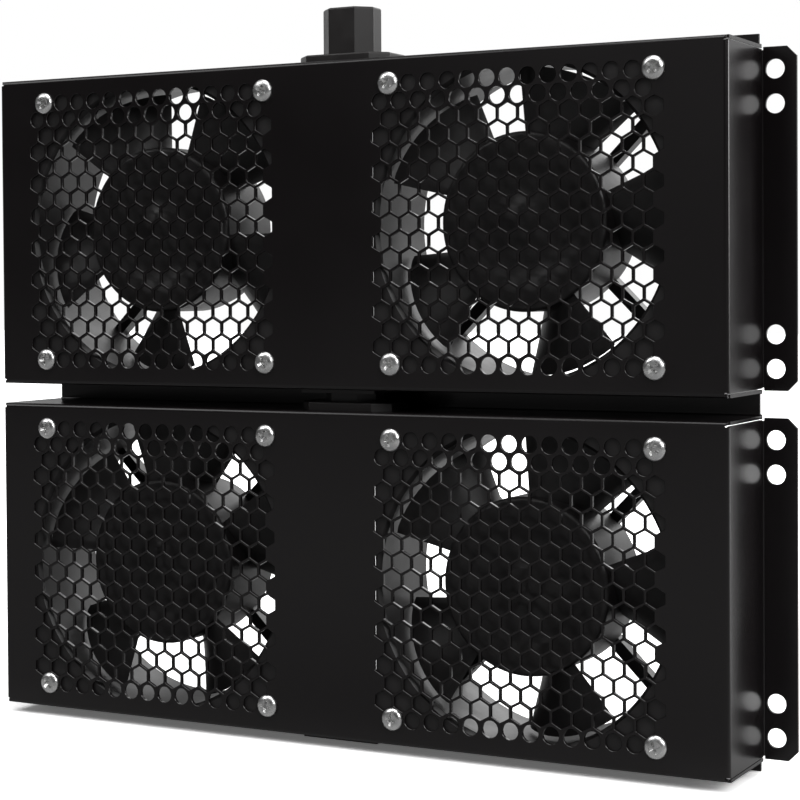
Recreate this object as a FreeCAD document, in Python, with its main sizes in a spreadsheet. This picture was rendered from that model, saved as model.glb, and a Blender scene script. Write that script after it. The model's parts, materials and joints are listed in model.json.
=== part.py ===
# Rack fan tray: two stacked sheet-metal fan modules for the front of an equipment rack.
# Each module is a folded steel tray with two perforated windows, two axial fans behind them,
# a power coupler on its top wall and a matching inlet in its bottom wall.
#
# Millimetres, +Z up, +X to the right and -Y to the front.  The origin is the middle of the
# rail holes, in the rear plane of the side flanges.  Depths are measured forward from that plane.

import FreeCAD, Part
import math
import os
import Sketcher

doc = FreeCAD.newDocument("RackFanTray")

# ---------------------------------------------------------------- driving dimensions

DIMENSIONS = [
    # tray
    ("tray_width", 315.0, "width of the folded box"),
    ("tray_height", 125.2, "height of the folded box"),
    ("sheet_thickness", 1.2, "steel sheet"),
    ("bend_radius", 0.8, "inner radius of every bend"),
    ("module_pitch", 133.35, "three rack units, from one module to the next"),
    ("flange_reach", 12.7, "side flange, outwards from the box"),
    ("flange_inset", 0.8, "flange end below the top of the box"),
    ("flange_chamfer", 3.5, "corner of the side flange"),
    ("lip_gap", 0.1, "half the gap between the lips of two modules"),
    ("relief_radius", 1.3, "round bend relief at every corner of the box"),
    ("relief_depth", 2.6, "bend relief, along the walls"),
    ("seam_width", 0.4, "open seam between two walls"),
    ("rail_hole", 7.1, "rail hole diameter"),
    ("rail_hole_reach", 4.8, "rail hole centre, outwards from the box"),
    ("rail_hole_outer", 53.85, "outer rail holes, from the middle of a module"),
    ("rail_hole_inner", 41.4, "inner rail holes, from the middle of a module"),
    # grille, drawn at about twice the real pitch to keep the model light
    ("grille_columns", 7, "openings across a window, in line with the screws"),
    ("grille_rows", 9, "rows of openings, the outer two in line with the screws"),
    ("grille_web", 2.0, "steel left between two openings of a row"),
    # fan
    ("fan_pitch", 160.0, "between the two fans of a module"),
    ("fan_shift", 2.0, "middle of the two fans, left of the middle of the tray"),
    ("fan_size", 120.0, "side of the square frame"),
    ("fan_depth", 38.0, "depth of the frame"),
    ("fan_hole_spacing", 105.0, "between the frame's mounting holes"),
    ("fan_hole", 4.3, "mounting hole diameter"),
    ("fan_flange", 4.5, "thickness of each end flange"),
    ("fan_corner", 6.0, "corner radius of the end flanges"),
    ("duct_bore", 116.0, "bore of the air duct"),
    ("duct_wall", 1.6, "wall of the air duct between the flanges"),
    ("duct_mouth", 1.4, "chamfer at the duct's front edge"),
    ("strut_width", 4.5, "strut behind the impeller"),
    ("strut_depth", 5.0, "strut, along the air flow"),
    ("motor_base_radius", 31.5, "disc that carries the motor"),
    ("motor_base_depth", 4.0, "thickness of that disc"),
    ("base_skin", 1.2, "wall that closes the bearing tube at the rear"),
    ("tube_wall", 2.0, "wall of the bearing tube"),
    ("tube_reach", 24.0, "bearing tube, forward of the motor base"),
    # impeller
    ("blade_count", 5, "blades"),
    ("hub_radius", 33.0, "outside of the hub"),
    ("hub_wall", 2.0, "wall of the hub"),
    ("hub_front_gap", 3.0, "hub behind the front of the frame"),
    ("hub_rear_gap", 6.0, "hub in front of the rear of the frame"),
    ("hub_edge", 2.0, "bevel of the hub's front edge"),
    ("tip_clearance", 1.5, "blade tip to duct bore"),
    ("blade_thickness", 1.8, "blade, along the axis"),
    ("blade_front_gap", 5.2, "blade tips behind the front of the frame"),
    ("blade_rear_gap", 12.6, "blade tips in front of the rear of the frame"),
    ("blade_root_chord", 18.5, "blade width across the air flow, at the root plane"),
    ("blade_tip_chord", 48.5, "blade width across the air flow, at the tip plane"),
    ("blade_sweep", 2.4, "tips set back from the roots"),
    ("blade_root_curve", 30.0, "camber radius at the root plane"),
    ("blade_tip_curve", 80.0, "camber radius at the tip plane"),
    ("upper_left_turn", 22.6, "rest angle of the impeller"),
    ("upper_right_turn", 0.3, "rest angle of the impeller"),
    ("lower_left_turn", 58.9, "rest angle of the impeller"),
    ("lower_right_turn", 1.7, "rest angle of the impeller"),
    # motor
    ("shaft_bore", 5.0, "bearing bore"),
    ("bearing_outer", 16.0, "bearing outside diameter"),
    ("bearing_width", 5.0, "bearing width"),
    ("running_fit", 0.03, "radial clearance of the shaft in its bearings"),
    ("seat_fit", 0.05, "radial clearance of pieces that seat in each other"),
    ("rotor_wall", 4.5, "wall of the steel rotor cup"),
    ("rotor_front", 1.5, "front wall of the rotor cup"),
    ("air_gap", 0.6, "rotor to stator"),
    ("stator_length", 16.0, "length of the laminated core"),
    ("stator_slot", 7.0, "winding slot"),
    ("stator_gap", 3.5, "stator in front of the motor base"),
    ("clip_width", 1.0, "retaining clip thickness"),
    ("clip_wall", 1.8, "retaining clip, outwards from the shaft"),
    ("clip_gap", 0.4, "clip behind the rear bearing"),
    ("clip_fit", 0.01, "radial clearance of the clip on the shaft"),
    ("shaft_end_gap", 0.2, "shaft in front of the skin that closes the bearing tube"),
    ("tab_width", 2.8, "spade terminal width"),
    ("tab_thickness", 0.8, "spade terminal thickness"),
    ("tab_length", 7.0, "spade terminal length"),
    ("tab_offset", 8.5, "spade terminal beside the mounting hole"),
    # fasteners
    ("screw_head", 8.6, "pan head diameter"),
    ("screw_head_height", 2.3, "pan head height"),
    ("screw_length", 10.0, "under the head"),
    ("tray_screw_hole", 4.5, "screw hole in the tray"),
    ("stud_diameter", 4.0, "earth stud"),
    ("stud_length", 12.0, "earth stud below the top wall"),
    ("stud_offset", 15.0, "earth stud beside the coupler"),
    ("stud_depth", 8.0, "earth stud in front of the rear plane"),
    ("nut_width", 7.0, "earth nut across flats"),
    ("nut_height", 3.2, "earth nut"),
    # power coupler
    ("coupler_depth", 23.4, "coupler centre in front of the rear plane"),
    ("nose_width", 22.2, "moulded nose"),
    ("nose_depth", 12.2, "moulded nose, front to back"),
    ("nose_height", 18.1, "moulded nose above its base"),
    ("nose_chamfer", 5.5, "front corners of the nose"),
    ("nose_edge", 0.8, "bevel round the top of the nose"),
    ("base_width", 39.4, "base flange on the top wall"),
    ("base_depth", 19.2, "base flange, front to back"),
    ("base_height", 3.2, "base flange thickness"),
    ("base_chamfer", 6.0, "front corners of the base flange"),
    ("base_edge", 0.8, "bevel round the top of the base flange"),
    ("spigot_inset", 0.5, "spigot inside the outline of the nose"),
    ("spigot_height", 13.0, "coupler body below the outside of the top wall"),
    ("panel_fit", 0.3, "gap round a body in its panel cut-out"),
    ("socket_fit", 0.4, "gap round the nose in the inlet"),
    ("inlet_wall", 1.5, "wall of the inlet"),
    ("inlet_flange", 1.4, "inlet flange below the bottom wall"),
    ("inlet_flange_rim", 3.0, "inlet flange beyond the inlet body"),
    ("inlet_recess", 15.5, "depth of the inlet from its flange face"),
    ("inlet_floor", 4.0, "moulding above the recess"),
    ("pin_width", 2.0, "contact pin"),
    ("pin_depth", 4.0, "contact pin, front to back"),
    ("pin_length", 11.0, "contact pin in the recess"),
    ("pin_tail", 6.0, "contact pin above the moulding"),
    ("pin_spacing", 7.0, "live and neutral pins either side of the middle"),
    ("earth_pin_shift", 1.4, "earth pin ahead of the middle, the others behind it"),
    ("contact_fit", 0.15, "contact sleeve to pin"),
    ("contact_wall", 0.4, "contact sleeve"),
    ("contact_length", 8.0, "contact sleeve"),
    ("slot_fit", 0.1, "contact sleeve to its slot"),
    ("slot_length", 13.0, "slot depth from the top of the nose"),
]

sheet = doc.addObject("Spreadsheet::Sheet", "Sizes")
size = {}
for row, (alias, value, note) in enumerate(DIMENSIONS, start=1):
    sheet.set("A%d" % row, alias)
    sheet.set("B%d" % row, str(value))
    sheet.set("C%d" % row, note)
    sheet.setAlias("B%d" % row, alias)
    size[alias] = value
doc.recompute()

# Expressions that several pieces share.
TRAY_DEPTH = "(Sizes.sheet_thickness + Sizes.fan_depth)"
HALF_WIDTH = "(Sizes.tray_width / 2)"
HALF_HEIGHT = "(Sizes.tray_height / 2)"
TUBE_RADIUS = "(Sizes.bearing_outer / 2 + Sizes.seat_fit + Sizes.tube_wall)"
ROTOR_RADIUS = "(Sizes.hub_radius - Sizes.hub_wall - Sizes.seat_fit)"
SHAFT_RADIUS = "(Sizes.shaft_bore / 2 - Sizes.running_fit)"
HUB_FRONT = "(Sizes.fan_depth - Sizes.hub_front_gap)"
SLEEVE_WIDTH = "(Sizes.pin_width + 2 * Sizes.contact_fit + 2 * Sizes.contact_wall)"
SLEEVE_DEPTH = "(Sizes.pin_depth + 2 * Sizes.contact_fit + 2 * Sizes.contact_wall)"
SPIGOT_WIDTH = "(Sizes.nose_width - 2 * Sizes.spigot_inset)"
SPIGOT_DEPTH = "(Sizes.nose_depth - 2 * Sizes.spigot_inset)"
INLET_WIDTH = "(Sizes.nose_width + 2 * Sizes.socket_fit + 2 * Sizes.inlet_wall)"
INLET_DEPTH = "(Sizes.nose_depth + 2 * Sizes.socket_fit + 2 * Sizes.inlet_wall)"

# ---------------------------------------------------------------- sketch and feature helpers

def new_form(name):
    """A body that sets the form of a piece; named sub-parts follow it."""
    body = doc.addObject("PartDesign::Body", name)
    body.Label = name
    body.AllowCompound = True
    return body


def origin_feature(body, role):
    return next(item for item in body.Origin.OriginFeatures if item.Role == role)


def sketch_on(body, name, plane="XZ_Plane", offset="0"):
    """An empty sketch on an origin plane, moved along that plane's normal."""
    sketch = body.newObject("Sketcher::SketchObject", name)
    sketch.AttachmentSupport = (origin_feature(body, plane), [""])
    sketch.MapMode = "FlatFace"
    sketch.setExpression("AttachmentOffset.Base.z", offset)
    return sketch


def bind(sketch, kind, geometry, point, expression, value):
    """One constraint of a point to the sketch's origin, driven by an expression."""
    index = sketch.addConstraint(Sketcher.Constraint(kind, -1, 1, geometry, point, value))
    sketch.setExpression("Constraints[%d]" % index, expression)


def polygon(sketch, corners):
    """A closed outline with straight sides through corners given as pairs of expressions."""
    count = len(corners)
    start = [FreeCAD.Vector(10 * math.cos(2 * math.pi * k / count + 0.1),
                            10 * math.sin(2 * math.pi * k / count + 0.1), 0) for k in range(count)]
    first = len(sketch.Geometry)
    for k in range(count):
        sketch.addGeometry(Part.LineSegment(start[k], start[(k + 1) % count]))
    for k in range(count):
        sketch.addConstraint(Sketcher.Constraint("Coincident", first + k, 2, first + (k + 1) % count, 1))
    for k, (across, up) in enumerate(corners):
        bind(sketch, "DistanceX", first + k, 1, across, start[k].x)
        bind(sketch, "DistanceY", first + k, 1, up, start[k].y)


def rectangle(sketch, width, height, across="0", up="0"):
    """A rectangle of the given size about a centre point."""
    left = "(%s) - (%s) / 2" % (across, width)
    right = "(%s) + (%s) / 2" % (across, width)
    low = "(%s) - (%s) / 2" % (up, height)
    high = "(%s) + (%s) / 2" % (up, height)
    polygon(sketch, [(right, high), (left, high), (left, low), (right, low)])


def circle(sketch, radius, across="0", up="0"):
    """A circle about a centre point."""
    start = FreeCAD.Vector(1, 1, 0)
    index = sketch.addGeometry(Part.Circle(start, FreeCAD.Vector(0, 0, 1), 1))
    bind(sketch, "DistanceX", index, 3, across, start.x)
    bind(sketch, "DistanceY", index, 3, up, start.y)
    rule = sketch.addConstraint(Sketcher.Constraint("Radius", index, 1))
    sketch.setExpression("Constraints[%d]" % rule, radius)


def feature(body, kind, name, profile, length=None, reverse=False):
    """A sketch-based feature; it must change the body's volume."""
    before = body.Shape.Volume if body.Tip else 0.0
    item = body.newObject("PartDesign::" + kind, name)
    item.Profile = profile
    if length is None:
        item.Type = "ThroughAll"
    else:
        item.setExpression("Length", length)
    item.Reversed = reverse
    doc.recompute()
    if abs(body.Shape.Volume - before) < 1e-3:
        raise RuntimeError("%s in %s changes nothing" % (name, body.Label))
    return item


def pad(body, name, profile, length, reverse=False):
    return feature(body, "Pad", name, profile, length, reverse)


def pocket(body, name, profile, length=None, reverse=False):
    return feature(body, "Pocket", name, profile, length, reverse)


def dress(body, kind, name, chosen, amount):
    """A fillet or chamfer on the edges of the body's tip that the test picks."""
    tip = body.Tip
    names = ["Edge%d" % (k + 1) for k, edge in enumerate(tip.Shape.Edges) if chosen(edge.BoundBox)]
    if not names:
        raise RuntimeError("%s in %s finds no edge" % (name, body.Label))
    item = body.newObject("PartDesign::" + kind, name)
    item.Base = (tip, names)
    item.setExpression("Radius" if kind == "Fillet" else "Size", amount)
    doc.recompute()
    return item


def linear(body, name, axis, length, occurrences):
    """One direction of a pattern, for use in a MultiTransform."""
    item = body.newObject("PartDesign::LinearPattern", name)
    item.Direction = (origin_feature(body, axis), [""])
    item.setExpression("Length", length)
    item.setExpression("Occurrences", occurrences)
    return item


def multiply(body, name, original, directions):
    """A pattern in several directions; it counts once it is the body's tip."""
    pattern = body.newObject("PartDesign::MultiTransform", name)
    pattern.Originals = [original]
    pattern.Transformations = [linear(body, name + "_" + axis + str(k), axis, length, count)
                               for k, (axis, length, count) in enumerate(directions)]
    body.Tip = pattern
    doc.recompute()
    return pattern


def polar(body, name, originals, count):
    """A pattern all round the fan axis."""
    pattern = body.newObject("PartDesign::PolarPattern", name)
    pattern.Originals = originals
    pattern.Axis = (origin_feature(body, "Y_Axis"), [""])
    pattern.Angle = 360
    pattern.setExpression("Occurrences", count)
    body.Tip = pattern
    doc.recompute()
    return pattern


def place(body, across, up, turn=None):
    """Puts a body at its place; a turn is about the fan axis."""
    body.setExpression("Placement.Base.x", across)
    body.setExpression("Placement.Base.z", up)
    if turn:
        body.Placement = FreeCAD.Placement(FreeCAD.Vector(), FreeCAD.Rotation(FreeCAD.Vector(0, 1, 0), 1))
        body.setExpression("Placement.Rotation.Angle", turn)


def near(value, target):
    return abs(value - target) < 0.01


# ---------------------------------------------------------------- tray

def flange_outline():
    """The side flanges and the top and bottom lips, corner by corner from the top right."""
    lip = "(Sizes.module_pitch / 2 - Sizes.lip_gap)"
    end = "(%s - Sizes.flange_inset)" % HALF_HEIGHT
    reach = "(%s + Sizes.flange_reach)" % HALF_WIDTH
    quarter = [
        (reach, "(%s - Sizes.flange_chamfer)" % end),
        ("(%s - Sizes.flange_chamfer)" % reach, end),
        (HALF_WIDTH, end),
        (HALF_WIDTH, lip),
    ]
    right_top = quarter
    left_top = [("-" + x, z) for x, z in reversed(quarter)]
    left_low = [("-" + x, "-" + z) for x, z in quarter]
    right_low = [(x, "-" + z) for x, z in reversed(quarter)]
    return right_top + left_top + left_low + right_low


def grille(body):
    """Hexagonal openings in both windows: full rows, shorter rows at the screws, and staggered rows."""
    pitch = "(Sizes.fan_hole_spacing / (Sizes.grille_columns - 1))"
    step = "(Sizes.fan_hole_spacing / (Sizes.grille_rows - 1))"
    left = "(-(Sizes.fan_pitch + Sizes.fan_hole_spacing) / 2 - Sizes.fan_shift)"
    low = "(-Sizes.fan_hole_spacing / 2)"
    side = "((%s - Sizes.grille_web) / 2)" % pitch
    tip = "(%s * 4 * %s / (3 * %s))" % (side, step, pitch)
    blocks = [
        # name, start across and up in pitches, openings across, rows
        ("full_rows", 0, 2, "Sizes.grille_columns", "((Sizes.grille_rows - 3) / 2)"),
        ("screw_rows", 1, 0, "(Sizes.grille_columns - 2)", "2"),
        ("staggered_rows", 0.5, 1, "(Sizes.grille_columns - 1)", "((Sizes.grille_rows - 1) / 2)"),
    ]
    for name, first_column, first_row, columns, rows in blocks:
        sketch = sketch_on(body, name + "_opening", offset=TRAY_DEPTH)
        x = "(%s + %s * %s)" % (left, first_column, pitch)
        z = "(%s + %s * %s)" % (low, first_row, step)
        polygon(sketch, [
            ("%s" % x, "%s + %s" % (z, tip)),
            ("%s - %s" % (x, side), "%s + %s / 2" % (z, tip)),
            ("%s - %s" % (x, side), "%s - %s / 2" % (z, tip)),
            ("%s" % x, "%s - %s" % (z, tip)),
            ("%s + %s" % (x, side), "%s - %s / 2" % (z, tip)),
            ("%s + %s" % (x, side), "%s + %s / 2" % (z, tip)),
        ])
        cut = pocket(body, name + "_cut", sketch, "Sizes.sheet_thickness + 1")
        height = "Sizes.fan_hole_spacing" if name == "screw_rows" else "2 * %s * (%s - 1)" % (step, rows)
        multiply(body, name, cut, [
            ("X_Axis", "%s * (%s - 1)" % (pitch, columns), columns),
            ("Z_Axis", height, rows),
            ("X_Axis", "Sizes.fan_pitch", "2"),
        ])


def build_tray(name):
    """One folded sheet: perforated front, four walls, two side flanges and two lips."""
    body = new_form(name)
    depth = size["sheet_thickness"] + size["fan_depth"]
    inner_x = size["tray_width"] / 2 - size["sheet_thickness"]
    inner_z = size["tray_height"] / 2 - size["sheet_thickness"]

    outline = sketch_on(body, "box_outline")
    rectangle(outline, "Sizes.tray_width", "Sizes.tray_height")
    pad(body, "box", outline, TRAY_DEPTH)
    dress(body, "Fillet", "front_bends",
          lambda box: near(box.YMin, -depth) and near(box.YMax, -depth),
          "Sizes.bend_radius + Sizes.sheet_thickness")
    hollow = sketch_on(body, "hollow_outline")
    rectangle(hollow, "Sizes.tray_width - 2 * Sizes.sheet_thickness",
              "Sizes.tray_height - 2 * Sizes.sheet_thickness")
    pocket(body, "hollow", hollow, "Sizes.fan_depth", reverse=True)
    dress(body, "Fillet", "inner_bends",
          lambda box: near(box.YMin, -size["fan_depth"]) and near(box.YMax, -size["fan_depth"]),
          "Sizes.bend_radius")

    flange = sketch_on(body, "flange_outline")
    polygon(flange, flange_outline())
    rectangle(flange, "Sizes.tray_width - 2 * Sizes.sheet_thickness",
              "Sizes.tray_height - 2 * Sizes.sheet_thickness")
    pad(body, "flanges", flange, "Sizes.sheet_thickness")
    dress(body, "Fillet", "rear_bends",
          lambda box: near(box.YMin, 0) and near(box.YMax, 0)
          and box.XMax < inner_x + 0.01 and box.XMin > -inner_x - 0.01
          and box.ZMax < inner_z + 0.01 and box.ZMin > -inner_z - 0.01,
          "Sizes.bend_radius + Sizes.sheet_thickness")

    for name_part, plane, forward in (("front", TRAY_DEPTH, False), ("rear", "0", True)):
        relief = sketch_on(body, name_part + "_relief_circles", offset=plane)
        for side in ("", "-"):
            for end in ("", "-"):
                circle(relief, "Sizes.relief_radius", side + HALF_WIDTH, end + HALF_HEIGHT)
        pocket(body, name_part + "_reliefs", relief, "Sizes.relief_depth", reverse=forward)

    seams = sketch_on(body, "seam_slots", offset="%s - Sizes.relief_depth / 2" % TRAY_DEPTH)
    for side in ("", "-"):
        for end in ("", "-"):
            rectangle(seams, "3 * Sizes.sheet_thickness", "Sizes.seam_width", side + HALF_WIDTH,
                      "%s(%s - Sizes.sheet_thickness - Sizes.seam_width / 2)" % (end, HALF_HEIGHT))
    pocket(body, "seams", seams)

    fixings = sketch_on(body, "screw_holes", offset=TRAY_DEPTH)
    for fan_side in ("", "-"):
        for across in ("+", "-"):
            for up in ("", "-"):
                circle(fixings, "Sizes.tray_screw_hole / 2",
                       "%sSizes.fan_pitch / 2 - Sizes.fan_shift %s Sizes.fan_hole_spacing / 2"
                       % (fan_side, across),
                       "%sSizes.fan_hole_spacing / 2" % up)
    pocket(body, "fan_screw_holes", fixings, "2 * Sizes.sheet_thickness")

    rail = sketch_on(body, "rail_circles", offset="2 * Sizes.sheet_thickness")
    for side in ("", "-"):
        for height in ("rail_hole_outer", "rail_hole_inner"):
            for end in ("", "-"):
                circle(rail, "Sizes.rail_hole / 2",
                       "%s(%s + Sizes.rail_hole_reach)" % (side, HALF_WIDTH),
                       "%sSizes.%s" % (end, height))
    pocket(body, "rail_holes", rail)

    upper = sketch_on(body, "coupler_cutout", "XY_Plane", HALF_HEIGHT)
    rectangle(upper, "%s + 2 * Sizes.panel_fit" % SPIGOT_WIDTH,
              "%s + 2 * Sizes.panel_fit" % SPIGOT_DEPTH, "0", "-Sizes.coupler_depth")
    pocket(body, "coupler_opening", upper, "2 * Sizes.sheet_thickness")
    lower = sketch_on(body, "inlet_cutout", "XY_Plane", "-" + HALF_HEIGHT)
    rectangle(lower, "%s + 2 * Sizes.panel_fit" % INLET_WIDTH,
              "%s + 2 * Sizes.panel_fit" % INLET_DEPTH, "0", "-Sizes.coupler_depth")
    pocket(body, "inlet_opening", lower, "2 * Sizes.sheet_thickness", reverse=True)

    grille(body)
    return body


# ---------------------------------------------------------------- fan

def build_frame(name):
    """Square die-cast frame: two end flanges, an air duct, four diagonal struts and the motor base."""
    body = new_form(name)
    outline = sketch_on(body, "rear_flange_outline")
    rectangle(outline, "Sizes.fan_size", "Sizes.fan_size")
    pad(body, "rear_flange", outline, "Sizes.fan_flange")
    duct = sketch_on(body, "duct_outline")
    circle(duct, "Sizes.duct_bore / 2 + Sizes.duct_wall")
    pad(body, "duct", duct, "Sizes.fan_depth")
    front = sketch_on(body, "front_flange_outline", offset="Sizes.fan_depth - Sizes.fan_flange")
    rectangle(front, "Sizes.fan_size", "Sizes.fan_size")
    pad(body, "front_flange", front, "Sizes.fan_flange")
    half = size["fan_size"] / 2
    dress(body, "Fillet", "corners",
          lambda box: near(abs(box.XMin), half) and near(abs(box.ZMin), half)
          and near(box.XMin, box.XMax) and near(box.ZMin, box.ZMax),
          "Sizes.fan_corner")
    bore = sketch_on(body, "bore_outline")
    circle(bore, "Sizes.duct_bore / 2")
    pocket(body, "bore", bore, reverse=True)
    radius = size["duct_bore"] / 2
    dress(body, "Chamfer", "mouth",
          lambda box: near(box.YMin, -size["fan_depth"]) and near(box.XMax, radius)
          and near(box.YMax, -size["fan_depth"]),
          "Sizes.duct_mouth")

    base = sketch_on(body, "motor_base_outline")
    circle(base, "Sizes.motor_base_radius")
    pad(body, "motor_base", base, "Sizes.motor_base_depth")
    strut = sketch_on(body, "strut_outline")
    inside = "(Sizes.motor_base_radius - Sizes.strut_width) * sqrt(0.5)"
    outside = "(Sizes.duct_bore / 2 + Sizes.duct_wall / 2) * sqrt(0.5)"
    half_width = "Sizes.strut_width / 2 * sqrt(0.5)"
    polygon(strut, [
        ("%s + %s" % (inside, half_width), "%s - %s" % (inside, half_width)),
        ("%s + %s" % (outside, half_width), "%s - %s" % (outside, half_width)),
        ("%s - %s" % (outside, half_width), "%s + %s" % (outside, half_width)),
        ("%s - %s" % (inside, half_width), "%s + %s" % (inside, half_width)),
    ])
    arm = pad(body, "strut", strut, "Sizes.strut_depth")
    polar(body, "struts", [arm], "4")

    tube = sketch_on(body, "tube_outline")
    circle(tube, TUBE_RADIUS)
    pad(body, "bearing_tube", tube, "Sizes.motor_base_depth + Sizes.tube_reach")
    seat = sketch_on(body, "tube_bore", offset="Sizes.base_skin")
    circle(seat, "Sizes.bearing_outer / 2 + Sizes.seat_fit")
    pocket(body, "bearing_seat", seat, reverse=True)

    holes = sketch_on(body, "hole_circles")
    for side in ("", "-"):
        for end in ("", "-"):
            circle(holes, "Sizes.fan_hole / 2", side + "Sizes.fan_hole_spacing / 2",
                   end + "Sizes.fan_hole_spacing / 2")
    pocket(body, "mounting_holes", holes, reverse=True)
    return body


def blade_section(body, name, plane, chord, sweep, curve):
    """A cambered profile across the blade: two arcs of one radius, joined by two short ends."""
    sketch = sketch_on(body, name, "YZ_Plane", plane)
    front = size["blade_front_gap"] - size["fan_depth"]
    rear = -size["blade_rear_gap"]
    thick = size["blade_thickness"]
    ahead = size[chord] / 2 - sweep * size["blade_sweep"]
    behind = -size[chord] / 2 - sweep * size["blade_sweep"]
    ahead_rule = "Sizes.%s / 2 - %s * Sizes.blade_sweep" % (chord, sweep)
    behind_rule = "-Sizes.%s / 2 - %s * Sizes.blade_sweep" % (chord, sweep)
    front_rule = "Sizes.blade_front_gap - Sizes.fan_depth"
    corners = {
        "lead": (front, ahead, front_rule, ahead_rule),
        "lead_back": (front + thick, ahead, front_rule + " + Sizes.blade_thickness", ahead_rule),
        "trail": (rear - thick, behind, "-Sizes.blade_rear_gap - Sizes.blade_thickness", behind_rule),
        "trail_back": (rear, behind, "-Sizes.blade_rear_gap", behind_rule),
    }
    arc_ends = {}
    for first, last in (("lead", "trail"), ("lead_back", "trail_back")):
        begin = FreeCAD.Vector(corners[first][0], corners[first][1], 0)
        finish = FreeCAD.Vector(corners[last][0], corners[last][1], 0)
        chord_line = finish - begin
        normal = FreeCAD.Vector(chord_line.y, -chord_line.x, 0).normalize()
        rise = size[curve] - math.sqrt(size[curve] ** 2 - (chord_line.Length / 2) ** 2)
        index = sketch.addGeometry(Part.Arc(begin, (begin + finish) / 2 + normal * rise, finish))
        for corner in (first, last):
            target = FreeCAD.Vector(corners[corner][0], corners[corner][1], 0)
            point = 1 if sketch.getPoint(index, 1).distanceToPoint(target) < 0.001 else 2
            arc_ends[corner] = (index, point)
            bind(sketch, "DistanceX", index, point, corners[corner][2], target.x)
            bind(sketch, "DistanceY", index, point, corners[corner][3], target.y)
        rule = sketch.addConstraint(Sketcher.Constraint("Radius", index, size[curve]))
        sketch.setExpression("Constraints[%d]" % rule, "Sizes." + curve)
    for first, last in (("lead", "lead_back"), ("trail", "trail_back")):
        index = sketch.addGeometry(Part.LineSegment(sketch.getPoint(*arc_ends[first]),
                                                    sketch.getPoint(*arc_ends[last])))
        sketch.addConstraint(Sketcher.Constraint("Coincident", index, 1, *arc_ends[first]))
        sketch.addConstraint(Sketcher.Constraint("Coincident", index, 2, *arc_ends[last]))
    return sketch


def build_impeller(name):
    """Moulded hub with five twisted, cambered blades, trimmed to the duct."""
    body = new_form(name)
    disc = sketch_on(body, "hub_outline", offset="Sizes.hub_rear_gap")
    circle(disc, "Sizes.hub_radius")
    pad(body, "hub", disc, "%s - Sizes.hub_rear_gap" % HUB_FRONT)
    front = size["fan_depth"] - size["hub_front_gap"]
    dress(body, "Chamfer", "hub_front_edge",
          lambda box: near(box.YMin, -front) and near(box.YMax, -front), "Sizes.hub_edge")

    root = blade_section(body, "blade_root", "Sizes.hub_radius - 2 * Sizes.hub_wall",
                         "blade_root_chord", 0, "blade_root_curve")
    tip = blade_section(body, "blade_tip", "Sizes.duct_bore / 2",
                        "blade_tip_chord", 1, "blade_tip_curve")
    blade = body.newObject("PartDesign::AdditiveLoft", "blade")
    blade.Profile = root
    blade.Sections = [tip]
    blade.Ruled = True
    doc.recompute()
    polar(body, "blades", [blade], "Sizes.blade_count")

    trim = sketch_on(body, "tip_circle")
    circle(trim, "Sizes.duct_bore / 2 - Sizes.tip_clearance")
    circle(trim, "Sizes.duct_bore")
    pocket(body, "tip_trim", trim, reverse=True)
    cavity = sketch_on(body, "cavity_outline")
    circle(cavity, "Sizes.hub_radius - Sizes.hub_wall")
    pocket(body, "cavity", cavity, "%s - Sizes.hub_wall" % HUB_FRONT, reverse=True)
    centre = sketch_on(body, "shaft_hole")
    circle(centre, SHAFT_RADIUS + " + Sizes.seat_fit")
    pocket(body, "shaft_seat", centre, "%s - Sizes.hub_wall / 2" % HUB_FRONT, reverse=True)
    return body


def build_rotor_cup(name):
    """Steel cup pressed into the hub; its wall runs round the stator."""
    body = new_form(name)
    outline = sketch_on(body, "cup_outline", offset="Sizes.hub_rear_gap + Sizes.seat_fit")
    circle(outline, ROTOR_RADIUS)
    pad(body, "cup", outline,
        "%s - Sizes.hub_wall - Sizes.hub_rear_gap - 2 * Sizes.seat_fit" % HUB_FRONT)
    inside = sketch_on(body, "cup_inside")
    circle(inside, ROTOR_RADIUS + " - Sizes.rotor_wall")
    pocket(body, "cup_hollow", inside,
           "%s - Sizes.hub_wall - Sizes.seat_fit - Sizes.rotor_front" % HUB_FRONT, reverse=True)
    centre = sketch_on(body, "shaft_hole")
    circle(centre, SHAFT_RADIUS + " + Sizes.seat_fit")
    pocket(body, "shaft_seat", centre, reverse=True)
    return body


def build_shaft(name):
    """Steel shaft, fixed in the hub and turning in the two bearings."""
    body = new_form(name)
    outline = sketch_on(body, "shaft_outline", offset="Sizes.base_skin + Sizes.shaft_end_gap")
    circle(outline, SHAFT_RADIUS)
    pad(body, "rod", outline,
        "%s - Sizes.hub_wall / 2 - Sizes.base_skin - Sizes.shaft_end_gap - Sizes.seat_fit" % HUB_FRONT)
    return body


REAR_BEARING = "(Sizes.base_skin + Sizes.clip_width + 2 * Sizes.clip_gap)"
FRONT_BEARING = "(Sizes.motor_base_depth + Sizes.tube_reach - Sizes.bearing_width)"


def build_clip(name):
    """Retaining ring on the shaft, behind the rear bearing."""
    body = new_form(name)
    ring = sketch_on(body, "clip_outline", offset="Sizes.base_skin + Sizes.clip_gap")
    circle(ring, "%s + Sizes.clip_wall" % SHAFT_RADIUS)
    circle(ring, SHAFT_RADIUS + " + Sizes.clip_fit")
    pad(body, "ring", ring, "Sizes.clip_width")
    return body


def build_bearings(name):
    """The rear and the front ball bearing, each drawn as one ring."""
    body = new_form(name)
    for place_name, offset in (("rear", REAR_BEARING), ("front", FRONT_BEARING)):
        ring = sketch_on(body, place_name + "_ring", offset=offset)
        circle(ring, "Sizes.bearing_outer / 2")
        circle(ring, "Sizes.shaft_bore / 2")
        pad(body, place_name + "_bearing", ring, "Sizes.bearing_width")
    return body


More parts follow.
